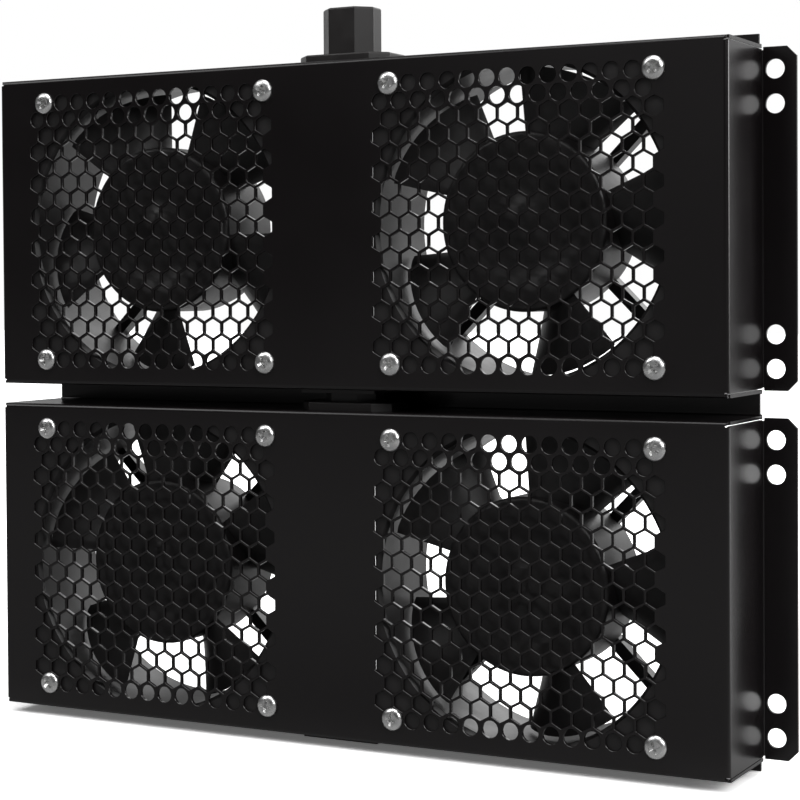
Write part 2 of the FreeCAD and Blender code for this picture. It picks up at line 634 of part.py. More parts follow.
def build_stator(name):
    """Laminated core with four winding slots and the ends of its windings, round the bearing tube."""
    body = new_form(name)
    inner = TUBE_RADIUS + " + Sizes.seat_fit"
    outer = "(%s - Sizes.rotor_wall - Sizes.air_gap)" % ROTOR_RADIUS
    start = "Sizes.motor_base_depth + Sizes.stator_gap"
    core = sketch_on(body, "core_outline", offset=start)
    circle(core, outer)
    circle(core, inner)
    pad(body, "core", core, "Sizes.stator_length")
    slot = sketch_on(body, "slot_outline", offset=start)
    rectangle(slot, outer, "Sizes.stator_slot", outer)
    cut = pocket(body, "slot", slot, reverse=True)
    polar(body, "slots", [cut], "4")
    winding = sketch_on(body, "winding_outline", offset=start + " - Sizes.stator_gap / 2")
    circle(winding, "(%s + %s) / 2" % (outer, inner))
    circle(winding, inner)
    pad(body, "windings", winding, "Sizes.stator_length + Sizes.stator_gap")
    return body


def build_terminals(name):
    """Two spade terminals in a corner of the frame, standing on the rear flange."""
    body = new_form(name)
    half = "(Sizes.fan_hole_spacing / 2)"
    tabs = sketch_on(body, "tab_outlines", offset="Sizes.fan_flange")
    rectangle(tabs, "Sizes.tab_width", "Sizes.tab_thickness", half + " - Sizes.tab_offset", "-" + half)
    rectangle(tabs, "Sizes.tab_thickness", "Sizes.tab_width", half, "Sizes.tab_offset - " + half)
    pad(body, "tabs", tabs, "Sizes.tab_length")
    return body


def build_screws(name):
    """Four pan-head screws through the tray into the front flange of the fan."""
    body = new_form(name)
    corner = "Sizes.fan_hole_spacing / 2"
    head = "(%s + Sizes.screw_head_height)" % TRAY_DEPTH
    end = "(%s - Sizes.screw_length)" % TRAY_DEPTH
    shank = "(Sizes.fan_hole / 2 - Sizes.seat_fit)"
    profile = sketch_on(body, "screw_profile", "XY_Plane", corner)
    profile.setExpression("AttachmentOffset.Base.x", corner)
    polygon(profile, [
        ("0", "-" + head),
        ("-Sizes.screw_head / 2", "-" + head),
        ("-Sizes.screw_head / 2", "-" + TRAY_DEPTH),
        ("-" + shank, "-" + TRAY_DEPTH),
        ("-" + shank, "-" + end),
        ("0", "-" + end),
    ])
    screw = body.newObject("PartDesign::Revolution", "screw")
    screw.Profile = profile
    screw.ReferenceAxis = (profile, ["V_Axis"])
    screw.Angle = 360
    doc.recompute()
    polar(body, "four_screws", [screw], "4")
    return body


# ---------------------------------------------------------------- power coupler and earth

def coupler_outline(sketch, width, depth, cut, growth="0"):
    """A rectangle with both front corners cut off, grown all round."""
    half = "(%s / 2 + %s)" % (width, growth)
    rear = "(%s / 2 + %s - Sizes.coupler_depth)" % (depth, growth)
    front = "(-%s / 2 - %s - Sizes.coupler_depth)" % (depth, growth)
    polygon(sketch, [
        (half, rear),
        ("-" + half, rear),
        ("-" + half, "%s + %s" % (front, cut)),
        ("-%s + %s" % (half, cut), front),
        ("%s - %s" % (half, cut), front),
        (half, "%s + %s" % (front, cut)),
    ])


NOSE = ("Sizes.nose_width", "Sizes.nose_depth", "Sizes.nose_chamfer")


def contact_places():
    """Live, neutral and earth, as pairs of expressions."""
    behind = "Sizes.earth_pin_shift - Sizes.coupler_depth"
    ahead = "-Sizes.earth_pin_shift - Sizes.coupler_depth"
    return [("Sizes.pin_spacing", behind), ("-Sizes.pin_spacing", behind), ("0", ahead)]


def build_coupler(name):
    """Moulded plug-in nose on a wide base flange, with a spigot through the top wall."""
    body = new_form(name)
    base = sketch_on(body, "base_outline", "XY_Plane", HALF_HEIGHT)
    coupler_outline(base, "Sizes.base_width", "Sizes.base_depth", "Sizes.base_chamfer")
    pad(body, "base", base, "Sizes.base_height")
    top = size["tray_height"] / 2 + size["base_height"]
    dress(body, "Chamfer", "base_bevel",
          lambda box: near(box.ZMin, top) and near(box.ZMax, top), "Sizes.base_edge")
    spigot = sketch_on(body, "spigot_outline", "XY_Plane", HALF_HEIGHT)
    rectangle(spigot, SPIGOT_WIDTH, SPIGOT_DEPTH, "0", "-Sizes.coupler_depth")
    pad(body, "spigot", spigot, "Sizes.spigot_height", reverse=True)
    nose = sketch_on(body, "nose_outline", "XY_Plane", HALF_HEIGHT + " + Sizes.base_height")
    coupler_outline(nose, *NOSE)
    pad(body, "nose", nose, "Sizes.nose_height")
    crown = top + size["nose_height"]
    dress(body, "Chamfer", "nose_bevel",
          lambda box: near(box.ZMin, crown) and near(box.ZMax, crown), "Sizes.nose_edge")
    slots = sketch_on(body, "slot_outlines", "XY_Plane",
                      HALF_HEIGHT + " + Sizes.base_height + Sizes.nose_height")
    for across, deep in contact_places():
        rectangle(slots, SLEEVE_WIDTH + " + 2 * Sizes.slot_fit",
                  SLEEVE_DEPTH + " + 2 * Sizes.slot_fit", across, deep)
    pocket(body, "slots", slots, "Sizes.slot_length")
    return body


def build_contacts(name):
    """Three sprung contact sleeves at the bottom of the slots."""
    body = new_form(name)
    outline = sketch_on(body, "sleeve_outlines", "XY_Plane",
                        HALF_HEIGHT + " + Sizes.base_height + Sizes.nose_height - Sizes.slot_length")
    for across, deep in contact_places():
        rectangle(outline, SLEEVE_WIDTH, SLEEVE_DEPTH, across, deep)
        rectangle(outline, "Sizes.pin_width + 2 * Sizes.contact_fit",
                  "Sizes.pin_depth + 2 * Sizes.contact_fit", across, deep)
    pad(body, "sleeves", outline, "Sizes.contact_length")
    return body


INLET_FACE = "(-%s - Sizes.inlet_flange)" % HALF_HEIGHT


def build_inlet(name):
    """Appliance inlet in the bottom wall: a flange outside, a recess for the nose and a solid floor."""
    body = new_form(name)
    flange = sketch_on(body, "flange_outline", "XY_Plane", "-" + HALF_HEIGHT)
    rectangle(flange, INLET_WIDTH + " + 2 * Sizes.inlet_flange_rim",
              INLET_DEPTH + " + 2 * Sizes.inlet_flange_rim", "0", "-Sizes.coupler_depth")
    pad(body, "flange", flange, "Sizes.inlet_flange", reverse=True)
    shell = sketch_on(body, "shell_outline", "XY_Plane", "-" + HALF_HEIGHT)
    rectangle(shell, INLET_WIDTH, INLET_DEPTH, "0", "-Sizes.coupler_depth")
    pad(body, "shell", shell, "Sizes.inlet_recess - Sizes.inlet_flange + Sizes.inlet_floor")
    recess = sketch_on(body, "recess_outline", "XY_Plane", INLET_FACE)
    coupler_outline(recess, *NOSE, "Sizes.socket_fit")
    pocket(body, "recess", recess, "Sizes.inlet_recess", reverse=True)
    holes = sketch_on(body, "pin_holes", "XY_Plane", INLET_FACE)
    for across, deep in contact_places():
        rectangle(holes, "Sizes.pin_width + 2 * Sizes.seat_fit",
                  "Sizes.pin_depth + 2 * Sizes.seat_fit", across, deep)
    pocket(body, "pin_seats", holes, reverse=True)
    return body


def build_pins(name):
    """Live, neutral and earth pins, through the floor of the inlet."""
    body = new_form(name)
    outline = sketch_on(body, "pin_outlines", "XY_Plane",
                        INLET_FACE + " + Sizes.inlet_recess - Sizes.pin_length")
    for across, deep in contact_places():
        rectangle(outline, "Sizes.pin_width", "Sizes.pin_depth", across, deep)
    pad(body, "blades", outline, "Sizes.pin_length + Sizes.inlet_floor + Sizes.pin_tail")
    return body


def build_earth_stud(name):
    """Stud welded inside the top wall."""
    body = new_form(name)
    outline = sketch_on(body, "stud_outline", "XY_Plane", HALF_HEIGHT + " - Sizes.sheet_thickness")
    circle(outline, "Sizes.stud_diameter / 2", "-Sizes.stud_offset", "-Sizes.stud_depth")
    pad(body, "stud", outline, "Sizes.stud_length", reverse=True)
    return body


def build_earth_nut(name):
    """Hexagon nut on the earth stud, against the wall."""
    body = new_form(name)
    outline = sketch_on(body, "nut_outline", "XY_Plane", HALF_HEIGHT + " - Sizes.sheet_thickness")
    corner = "Sizes.nut_width / sqrt(3)"
    polygon(outline, [("%s * cos(%d) - Sizes.stud_offset" % (corner, turn),
                       "%s * sin(%d) - Sizes.stud_depth" % (corner, turn))
                      for turn in range(0, 360, 60)])
    circle(outline, "Sizes.stud_diameter / 2 + Sizes.seat_fit", "-Sizes.stud_offset", "-Sizes.stud_depth")
    pad(body, "nut", outline, "Sizes.nut_height", reverse=True)
    return body


# ---------------------------------------------------------------- assembly

parts = []


def copy_of(form, name, across, up, turn=None):
    """A named sub-part: its own body that follows a form and has its own place."""
    body = doc.addObject("PartDesign::Body", name)
    body.Label = name
    base = body.newObject("PartDesign::FeatureBase", name + "_form")
    base.BaseFeature = form
    body.Tip = base
    place(body, across, up, turn)
    parts.append(body)
    return body


LEVELS = {"upper": "Sizes.module_pitch / 2", "lower": "-Sizes.module_pitch / 2"}
SIDES = {"left": "-Sizes.fan_shift - Sizes.fan_pitch / 2", "right": "Sizes.fan_pitch / 2 - Sizes.fan_shift"}

module_forms = {
    "tray": build_tray("tray_form"),
    "coupler": build_coupler("coupler_form"),
    "coupler_contacts": build_contacts("contacts_form"),
    "inlet": build_inlet("inlet_form"),
    "inlet_pins": build_pins("pins_form"),
    "earth_stud": build_earth_stud("earth_stud_form"),
    "earth_nut": build_earth_nut("earth_nut_form"),
}
fixed_fan_forms = {
    "fan_frame": build_frame("frame_form"),
    "stator": build_stator("stator_form"),
    "bearings": build_bearings("bearings_form"),
    "terminals": build_terminals("terminals_form"),
    "screws": build_screws("screws_form"),
}
turning_fan_forms = {
    "impeller": build_impeller("impeller_form"),
    "rotor_cup": build_rotor_cup("rotor_cup_form"),
    "shaft": build_shaft("shaft_form"),
    "clip": build_clip("clip_form"),
}

for level, up in LEVELS.items():
    for piece, form in module_forms.items():
        copy_of(form, "%s_%s" % (level, piece), "0", up)
    for side, across in SIDES.items():
        for piece, form in fixed_fan_forms.items():
            copy_of(form, "%s_%s_%s" % (level, side, piece), across, up)
        for piece, form in turning_fan_forms.items():
            copy_of(form, "%s_%s_%s" % (level, side, piece), across, up,
                    "Sizes.%s_%s_turn" % (level, side))
doc.recompute()

# ---------------------------------------------------------------- checks and files

for item in doc.Objects:
    if "Invalid" in item.State or "Error" in item.State:
        raise RuntimeError("%s (%s) failed: %s" % (item.Name, item.Label, item.State))
for body in parts:
    if body.Shape.isNull() or not body.Shape.isValid() or not body.Shape.Solids:
        raise RuntimeError("%s has no valid shape" % body.Label)

os.makedirs("parts", exist_ok=True)
for body in parts:
    body.Shape.exportStep(os.path.join("parts", body.Label + ".step"))
print("wrote %d sub-parts" % len(parts))
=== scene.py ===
# Rack fan tray: finished surfaces for two stacked fan modules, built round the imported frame.
# Metres, +Z up, the front towards -Y, with the origin in the rear plane of the side flanges.

import bmesh
import bpy
import json
import math
from mathutils import Matrix, Vector
from mathutils.geometry import delaunay_2d_cdt
from mathutils.kdtree import KDTree


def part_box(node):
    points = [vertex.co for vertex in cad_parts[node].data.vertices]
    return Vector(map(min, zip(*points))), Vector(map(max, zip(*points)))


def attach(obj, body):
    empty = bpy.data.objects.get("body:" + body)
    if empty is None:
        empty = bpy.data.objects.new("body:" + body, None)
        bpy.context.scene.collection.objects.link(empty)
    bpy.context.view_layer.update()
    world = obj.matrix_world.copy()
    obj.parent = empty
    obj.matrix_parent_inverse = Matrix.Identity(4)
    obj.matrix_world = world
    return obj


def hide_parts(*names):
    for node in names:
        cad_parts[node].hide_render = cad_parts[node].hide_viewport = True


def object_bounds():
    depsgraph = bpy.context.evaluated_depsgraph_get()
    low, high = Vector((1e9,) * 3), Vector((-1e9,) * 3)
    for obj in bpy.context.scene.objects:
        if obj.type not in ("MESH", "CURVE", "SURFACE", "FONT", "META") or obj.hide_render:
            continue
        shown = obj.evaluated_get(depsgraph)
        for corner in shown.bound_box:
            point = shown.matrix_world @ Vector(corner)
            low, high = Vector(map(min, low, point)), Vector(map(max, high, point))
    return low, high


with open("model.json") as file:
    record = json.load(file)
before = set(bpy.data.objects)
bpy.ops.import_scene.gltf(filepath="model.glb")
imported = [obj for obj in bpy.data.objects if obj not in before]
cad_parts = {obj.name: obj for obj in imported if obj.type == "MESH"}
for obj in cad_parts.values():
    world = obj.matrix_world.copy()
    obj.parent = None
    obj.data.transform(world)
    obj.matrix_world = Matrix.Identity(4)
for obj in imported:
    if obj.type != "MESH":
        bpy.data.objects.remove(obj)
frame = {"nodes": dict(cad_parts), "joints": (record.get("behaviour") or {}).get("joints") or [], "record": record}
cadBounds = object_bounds()
levels = ("upper", "lower")
sides = ("left", "right")

# mesh tools

weldDistance = 2e-6    # points this close become one
flatTolerance = 1e-7
facesWithHoles = 5     # the kind of triangulation that leaves the openings open


class Shell:  # points and faces gathered part by part, welded when the mesh is made
    def __init__(self):
        self.points = []
        self.faces = []

    def add(self, points, faces):
        first = len(self.points)
        self.points += [Vector(point) for point in points]
        self.faces += [tuple(first + k for k in face) for face in faces]

    def band(self, first, second):  # the strip between two closed loops
        count = len(first)
        after = [(k + 1) % count for k in range(count)]
        quads = [(k, after[k], count + after[k], count + k) for k in range(count)]
        self.add([*first, *second], quads)

    def rows(self, rows):
        for first, second in zip(rows, rows[1:]):
            self.band(first, second)

    def cap(self, outline, holes, toSpace):  # toSpace takes a flat point to its place
        points = [Vector(point[:2]) for loop in (outline, *holes) for point in loop]
        edges = []
        first = len(outline)
        for loop in holes:
            edges += [(first + k, first + (k + 1) % len(loop)) for k in range(len(loop))]
            first += len(loop)
        border = [list(range(len(outline)))]
        flat = delaunay_2d_cdt(points, edges, border, facesWithHoles, flatTolerance)
        self.add([toSpace(*point) for point in flat[0]], flat[2])

    def slab(self, outline, holes, toSpace, low, high):  # a flat closed plate with openings
        for level in (low, high):
            self.cap(outline, holes, lambda u, v: toSpace(u, v, level))
        for loop in (outline, *holes):
            self.rows([[toSpace(*point, level) for point in loop] for level in (low, high)])

    def take(self, mesh, toSpace=lambda point: point):
        self.add([toSpace(v.co) for v in mesh.vertices], [tuple(p.vertices) for p in mesh.polygons])

    def toMesh(self, name):
        tree = KDTree(len(self.points))
        for k, point in enumerate(self.points):
            tree.insert(point, k)
        tree.balance()
        keeper = []
        for point in self.points:
            keeper.append(min(found[1] for found in tree.find_range(point, weldDistance)))
        groups = {}
        for face in self.faces:
            loop = [keeper[k] for k in face]
            loop = [k for n, k in enumerate(loop) if k != loop[n - 1]]
            if len(set(loop)) > 2:
                groups.setdefault(frozenset(loop), []).append(loop)
        # a wall that two parts share goes from both
        faces = [group[0] for group in groups.values() if len(group) % 2]
        used = sorted({k for face in faces for k in face})
        number = {k: n for n, k in enumerate(used)}
        points = [self.points[k] for k in used]
        mesh = bpy.data.meshes.new(name)
        mesh.from_pydata(points, [], [[number[k] for k in face] for face in faces])
        work = bmesh.new()
        work.from_mesh(mesh)
        bmesh.ops.recalc_face_normals(work, faces=work.faces)
        loose = sum(1 for edge in work.edges if len(edge.link_faces) != 2)
        work.to_mesh(mesh)
        work.free()
        print(name, len(mesh.polygons), "faces,", loose, "open edges")
        return mesh


def addObject(name, mesh, material, sharpAngle=32):
    mesh.materials.clear()
    mesh.materials.append(material)
    mesh.shade_smooth()
    mesh.set_sharp_from_angle(angle=math.radians(sharpAngle))
    piece = bpy.data.objects.new(name, mesh)
    bpy.context.scene.collection.objects.link(piece)
    return piece


def bake(piece):  # the evaluated mesh replaces the modifiers
    graph = bpy.context.evaluated_depsgraph_get()
    finished = piece.evaluated_get(graph)
    mesh = bpy.data.meshes.new_from_object(finished, preserve_all_data_layers=True, depsgraph=graph)
    piece.modifiers.clear()
    piece.data = mesh


def evenShading(piece):  # keeps large flat faces flat where they meet a bend
    piece.modifiers.new("normals", "WEIGHTED_NORMAL").keep_sharp = True
    bake(piece)


def arc(centre, radius, start, end, steps):  # angles in degrees, from +X towards +Y
    points = []
    for k in range(steps + 1):
        turn = math.radians(start + (end - start) * k / steps)
        points.append((centre[0] + radius * math.cos(turn), centre[1] + radius * math.sin(turn)))
    return points


def ring(radius, steps, centre=(0, 0)):
    return arc(centre, radius, 0, 360, steps)[:-1]


def roundedPath(corners, radius, steps=4):  # a closed outline with every corner rounded
    points = []
    count = len(corners)
    for k, corner in enumerate(corners):
        here = Vector(corner)
        before = (Vector(corners[k - 1]) - here).normalized()
        after = (Vector(corners[(k + 1) % count]) - here).normalized()
        half = before.angle(after) / 2
        centre = here + (before + after).normalized() * radius / math.sin(half)
        first = here + before * radius / math.tan(half) - centre
        last = here + after * radius / math.tan(half) - centre
        for n in range(steps + 1):
            arm = first.lerp(last, n / steps)
            points.append(tuple(centre + arm.normalized() * radius))
    return points


def roundedBox(low, high, radius, steps=4):
    (left, front), (right, rear) = low, high
    return roundedPath([(right, rear), (left, rear), (left, front), (right, front)], radius, steps)


def flatBox(points):  # the lowest and highest X and Y of the points
    low = Vector((min(p.x for p in points), min(p.y for p in points)))
    high = Vector((max(p.x for p in points), max(p.y for p in points)))
    return low, high


# node tools

def node(tree, kind, inputs, **settings):  # an input is a socket to link or a plain value
    item = tree.nodes.new(kind)
    for key, value in settings.items():
        setattr(item, key, value)
    for key, value in inputs.items():
        if isinstance(value, bpy.types.NodeSocket):
            tree.links.new(value, item.inputs[key])
        else:
            item.inputs[key].default_value = value
    return item


def calc(tree, operation, first, second=0.0):
    return node(tree, "ShaderNodeMath", {0: first, 1: second}, operation=operation).outputs[0]


def triple(tree, x=0.0, y=0.0, z=0.0):
    return node(tree, "ShaderNodeCombineXYZ", {0: x, 1: y, 2: z}).outputs[0]


def joined(tree, *parts):
    item = tree.nodes.new("GeometryNodeJoinGeometry")
    for part in reversed(parts):
        tree.links.new(part, item.inputs[0])
    return item.outputs[0]


def moved(tree, geometry, shift=(0, 0, 0), turn=(0, 0, 0), scale=(1, 1, 1)):
    inputs = {"Geometry": geometry, "Translation": shift, "Rotation": turn, "Scale": scale}
    return node(tree, "GeometryNodeTransform", inputs).outputs[0]


def copiesOn(tree, points, shape, **inputs):  # a copy of the shape on each point
    inputs = {"Points": points, "Instance": shape, **inputs}
    return node(tree, "GeometryNodeInstanceOnPoints", inputs).outputs[0]


def newTree(name, inputs):
    tree = bpy.data.node_groups.new(name, "GeometryNodeTree")
    tree.is_modifier = True
    tree.interface.new_socket("Geometry", in_out="INPUT", socket_type="NodeSocketGeometry")
    for label, value in inputs.items():
        kind = "NodeSocketInt" if isinstance(value, int) else "NodeSocketFloat"
        tree.interface.new_socket(label, in_out="INPUT", socket_type=kind)
    tree.interface.new_socket("Geometry", in_out="OUTPUT", socket_type="NodeSocketGeometry")
    return tree, tree.nodes.new("NodeGroupInput").outputs


def closeTree(tree, geometry, material):
    real = node(tree, "GeometryNodeRealizeInstances", {0: geometry}).outputs[0]
    finish = node(tree, "GeometryNodeSetMaterial", {"Geometry": real, "Material": material})
    tree.links.new(finish.outputs[0], tree.nodes.new("NodeGroupOutput").inputs[0])


def grow(piece, tree, inputs):  # runs a tree on the piece and keeps the plain mesh
    modifier = piece.modifiers.new(tree.name, "NODES")
    modifier.node_group = tree
    for item in tree.interface.items_tree:
        if item.item_type == "SOCKET" and item.in_out == "INPUT" and item.name in inputs:
            modifier[item.identifier] = inputs[item.name]
    bake(piece)


# finishes: a pattern is scale, detail and roughness, and a relief is strength and depth

def newMaterial(name, sizes, metallic=0.0):
    material = bpy.data.materials.new(name)
    material.use_nodes = True
    tree = material.node_tree
    shader = tree.nodes["Principled BSDF"]
    shader.inputs["Base Color"].default_value = (*sizes["colour"], 1)
    shader.inputs["Metallic"].default_value = metallic
    place = tree.nodes.new("ShaderNodeTexCoord").outputs["Object"]
    return material, tree, shader, place


def noise(tree, place, scale, detail, roughness=0.5, stretch=(1, 1, 1)):
    spot = node(tree, "ShaderNodeMapping", {"Vector": place, "Scale": stretch}).outputs[0]
    inputs = {"Vector": spot, "Scale": scale, "Detail": detail, "Roughness": roughness}
    return node(tree, "ShaderNodeTexNoise", inputs).outputs["Fac"]


def span(tree, value, low, high, fromLow=0.3, fromHigh=0.7):
    inputs = {"Value": value, "From Min": fromLow, "From Max": fromHigh,
              "To Min": low, "To Max": high}
    return node(tree, "ShaderNodeMapRange", inputs).outputs["Result"]


def varyGloss(tree, shader, pattern, gloss):
    tree.links.new(span(tree, pattern, *gloss), shader.inputs["Roughness"])


def varyColour(tree, shader, share, first, second):
    inputs = {0: share, 6: (*first, 1), 7: (*second, 1)}
    mix = node(tree, "ShaderNodeMix", inputs, data_type="RGBA")
    tree.links.new(mix.outputs[2], shader.inputs["Base Color"])


def bump(tree, shader, height, strength, distance):
    inputs = {"Height": height, "Strength": strength, "Distance": distance}
    tree.links.new(node(tree, "ShaderNodeBump", inputs).outputs[0], shader.inputs["Normal"])


trayPaint = {
    "colour": (0.0066, 0.0052, 0.0056),
    "dusty": (0.014, 0.012, 0.0125),
    "dust": 0.5,
    "gloss": (0.19, 0.27),
    "patches": (14.0, 4.0),
    "specks": (2600.0, 2.0),
    "speckEdge": (0.45, 0.7),
    "peel": (900.0, 2.0),
    "relief": (0.25, 0.000016),
}


def makeTrayPaint(sizes):
    material, tree, shader, place = newMaterial("blackPaint", sizes)
    patches = noise(tree, place, *sizes["patches"])
    varyGloss(tree, shader, patches, sizes["gloss"])
    specks = span(tree, noise(tree, place, *sizes["specks"]), 0.0, 1.0, *sizes["speckEdge"])
    dust = calc(tree, "MULTIPLY", span(tree, patches, 0.0, sizes["dust"]), specks)
    varyColour(tree, shader, dust, sizes["colour"], sizes["dusty"])
    bump(tree, shader, noise(tree, place, *sizes["peel"]), *sizes["relief"])
    return material


castEnamel = {
    "colour": (0.010, 0.0088, 0.0092),
    "thin": (0.026, 0.024, 0.0245),
    "thinness": 0.6,
    "gloss": (0.34, 0.5),
    "flow": (55.0, 5.0, 0.6),
    "grain": (700.0, 4.0, 0.7),
    "relief": (0.35, 0.00006),
}


def makeCastEnamel(sizes):
    material, tree, shader, place = newMaterial("castEnamel", sizes)
    flow = noise(tree, place, *sizes["flow"])
    varyGloss(tree, shader, flow, sizes["gloss"])
    thinness = span(tree, flow, 0.0, sizes["thinness"])
    varyColour(tree, shader, thinness, sizes["colour"], sizes["thin"])
    bump(tree, shader, noise(tree, place, *sizes["grain"]), *sizes["relief"])
    return material


filledPlastic = {
    "colour": (0.009, 0.0078, 0.0082),
    "fibre": (0.019, 0.017, 0.0175),
    "fibreShare": 0.5,
    "gloss": (0.36, 0.5),
    "fibres": (900.0, 3.0, 0.6),
    "stretch": (1.0, 0.25, 1.0),
    "clouds": (40.0, 3.0),
    "relief": (0.25, 0.00003),
}


def makeFilledPlastic(sizes):
    material, tree, shader, place = newMaterial("filledPlastic", sizes)
    fibres = noise(tree, place, *sizes["fibres"], sizes["stretch"])
    varyGloss(tree, shader, noise(tree, place, *sizes["clouds"]), sizes["gloss"])
    fibreShare = span(tree, fibres, 0.0, sizes["fibreShare"])
    varyColour(tree, shader, fibreShare, sizes["colour"], sizes["fibre"])
    bump(tree, shader, fibres, *sizes["relief"])
    return material


moulding = {
    "colour": (0.013, 0.0112, 0.0112),
    "worn": (0.026, 0.0235, 0.0235),
    "wear": 0.4,
    "gloss": (0.36, 0.46),
    "clouds": (120.0, 3.0),
    "sparks": (1500.0, 2.0),
    "relief": (0.3, 0.00004),
}


def makeMoulding(sizes):
    material, tree, shader, place = newMaterial("satinMoulding", sizes)
    clouds = noise(tree, place, *sizes["clouds"])
    varyGloss(tree, shader, clouds, sizes["gloss"])
    wear = span(tree, clouds, 0.0, sizes["wear"])
    varyColour(tree, shader, wear, sizes["colour"], sizes["worn"])
    bump(tree, shader, noise(tree, place, *sizes["sparks"]), *sizes["relief"])
    return material


brightZinc = {"colour": (0.95, 0.95, 0.94), "dull": (0.72, 0.72, 0.73), "gloss": (0.2, 0.36)}
nickelledBrass = {"colour": (0.75, 0.62, 0.36), "dull": (0.58, 0.50, 0.34), "gloss": (0.22, 0.38)}
groundSteel = {"colour": (0.62, 0.62, 0.63), "dull": (0.45, 0.45, 0.46), "gloss": (0.22, 0.34)}
metalGrain = {
    "dullness": 0.7,
    "clouds": (320.0, 4.0, 0.6),
    "lines": (2400.0, 2.0, 0.5),
    "drawn": (1, 0.1, 1),       # draws the lines out along the shaft
    "relief": (0.2, 0.00002),
}


def makePlating(name, sizes, grain, stretch=(1, 1, 1)):
    material, tree, shader, place = newMaterial(name, sizes, metallic=1.0)
    clouds = noise(tree, place, *grain["clouds"])
    varyGloss(tree, shader, clouds, sizes["gloss"])
    dullness = span(tree, clouds, 0.0, grain["dullness"])
    varyColour(tree, shader, dullness, sizes["colour"], sizes["dull"])
    bump(tree, shader, noise(tree, place, *grain["lines"], stretch), *grain["relief"])
    return material


laminations = {
    "colour": (0.30, 0.30, 0.31),
    "varnish": (0.12, 0.07, 0.04),
    "varnishShare": (0.1, 0.8),
    "gloss": 0.45,
    "metallic": 0.9,
    "sheet": 0.0005,
    "clouds": (60.0, 3.0),
    "relief": (0.4, 0.00008),
}


def makeLaminations(sizes):
    material, tree, shader, place = newMaterial("laminations", sizes, sizes["metallic"])
    shader.inputs["Roughness"].default_value = sizes["gloss"]
    depth = node(tree, "ShaderNodeSeparateXYZ", {0: place}).outputs["Y"]
    sheets = calc(tree, "PINGPONG", depth, sizes["sheet"])
    lines = span(tree, sheets, 0.0, 1.0, 0.0, sizes["sheet"])
    clouds = span(tree, noise(tree, place, *sizes["clouds"]), *sizes["varnishShare"])
    varnish = calc(tree, "MULTIPLY", clouds, lines)
    varyColour(tree, shader, varnish, sizes["colour"], sizes["varnish"])
    bump(tree, shader, lines, *sizes["relief"])
    return material


finishes = {
    "black_paint": makeTrayPaint(trayPaint),
    "fan_casting": makeCastEnamel(castEnamel),
    "fan_plastic": makeFilledPlastic(filledPlastic),
    "coupler_moulding": makeMoulding(moulding),
    "zinc": makePlating("brightZinc", brightZinc, metalGrain),
    "brass": makePlating("nickelledBrass", nickelledBrass, metalGrain),
    "stator_steel": makeLaminations(laminations),
    "bearing_steel": makePlating("groundSteel", groundSteel, metalGrain, metalGrain["drawn"]),
}
for part in frame["record"]["subparts"]:
    for place in frame["nodes"][part["node"]].material_slots:
        place.material = finishes[part["material_slot"]]
print("finishes:", len(finishes))

# places read from the frame, and the one size that every fan shares

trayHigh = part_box("upper_tray")[1]
frameLow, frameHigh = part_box("upper_left_fan_frame")
fanCentre = {joint["child"]: Vector(joint["pos_m"]) for joint in frame["joints"]}
levelHeight = {level: fanCentre[level + "_left_impeller"].z for level in levels}
fanAcross = {side: fanCentre["upper_%s_impeller" % side].x for side in sides}
screwSpacing = 0.105    # between the screws of a fan, both ways

# folded tray

tray = {
    "sheet": 0.0012,
    "bend": 0.0016,         # outside radius
    "bendSteps": 7,
    "halfWidth": 0.1575,
    "halfHeight": 0.0626,
    "notch": 0.0003,        # bend relief at the corners of the front
    "seam": 0.0004,
    "flangeEnd": 0.0008,    # flange below the top of the box
    "flangeCut": 0.0035,
    "lipCut": 0.0012,
    "lipGap": 0.000005,     # half the gap between the lips of the two trays
    "mitre": 0.85,          # how far the top bends run round the corners
    "railHole": 0.00355,
    "railHoleSteps": 40,
    "railHoleReach": 0.0048,  # from the side wall to the middle of a hole
    "railHoleHeights": (0.05385, 0.0414),
    "cutFit": 0.0003,       # round the coupler and the inlet
    "cutCorner": 0.0008,
    "nearSheet": 0.0009,    # a node's points this close to the sheet are passed over
    "grilleHoleSteps": 22,
    "grilleCornerSteps": 2,
    "sharpAngle": 28,
}
perforation = {
    "Columns": 14,
    "Rows": 17,
    "Window": screwSpacing,  # between the first and last openings, both ways
    "Opening Width": 0.00706,
    "Opening Height": 0.0077,
    "Corner Radius": 0.0005,
    "Round Hole": 0.0032,
    "Screw Hole": 0.00225,
    "Edge Bevel": 0.00016,
    "Thickness": tray["sheet"],
    "Left Window": fanAcross["left"],
    "Right Window": fanAcross["right"],
}


def openingKinds(tree, value):
    # hexagon, round hole and screw hole, each with its half width and half height
    sixSided = {"Resolution": 6, "Radius": 1.0}
    hexagon = node(tree, "GeometryNodeCurvePrimitiveCircle", sixSided).outputs[0]
    upright = moved(tree, hexagon, turn=(0, 0, math.radians(30)))
    wide = calc(tree, "DIVIDE", value["Opening Width"], math.sqrt(3))
    tall = calc(tree, "DIVIDE", value["Opening Height"], 2.0)
    sized = moved(tree, upright, scale=triple(tree, wide, tall, 1.0))
    corners = {"Curve": sized, "Count": tray["grilleCornerSteps"], "Radius": value["Corner Radius"]}
    kinds = [(node(tree, "GeometryNodeFilletCurve", corners, mode="POLY").outputs[0], wide, tall)]
    for label in ("Round Hole", "Screw Hole"):
        circle = {"Resolution": tray["grilleHoleSteps"], "Radius": value[label]}
        hole = node(tree, "GeometryNodeCurvePrimitiveCircle", circle).outputs[0]
        kinds.append((hole, value[label], value[label]))
    return kinds


def growth(tree, size, bevel):
    return calc(tree, "DIVIDE", calc(tree, "ADD", size, bevel), size)


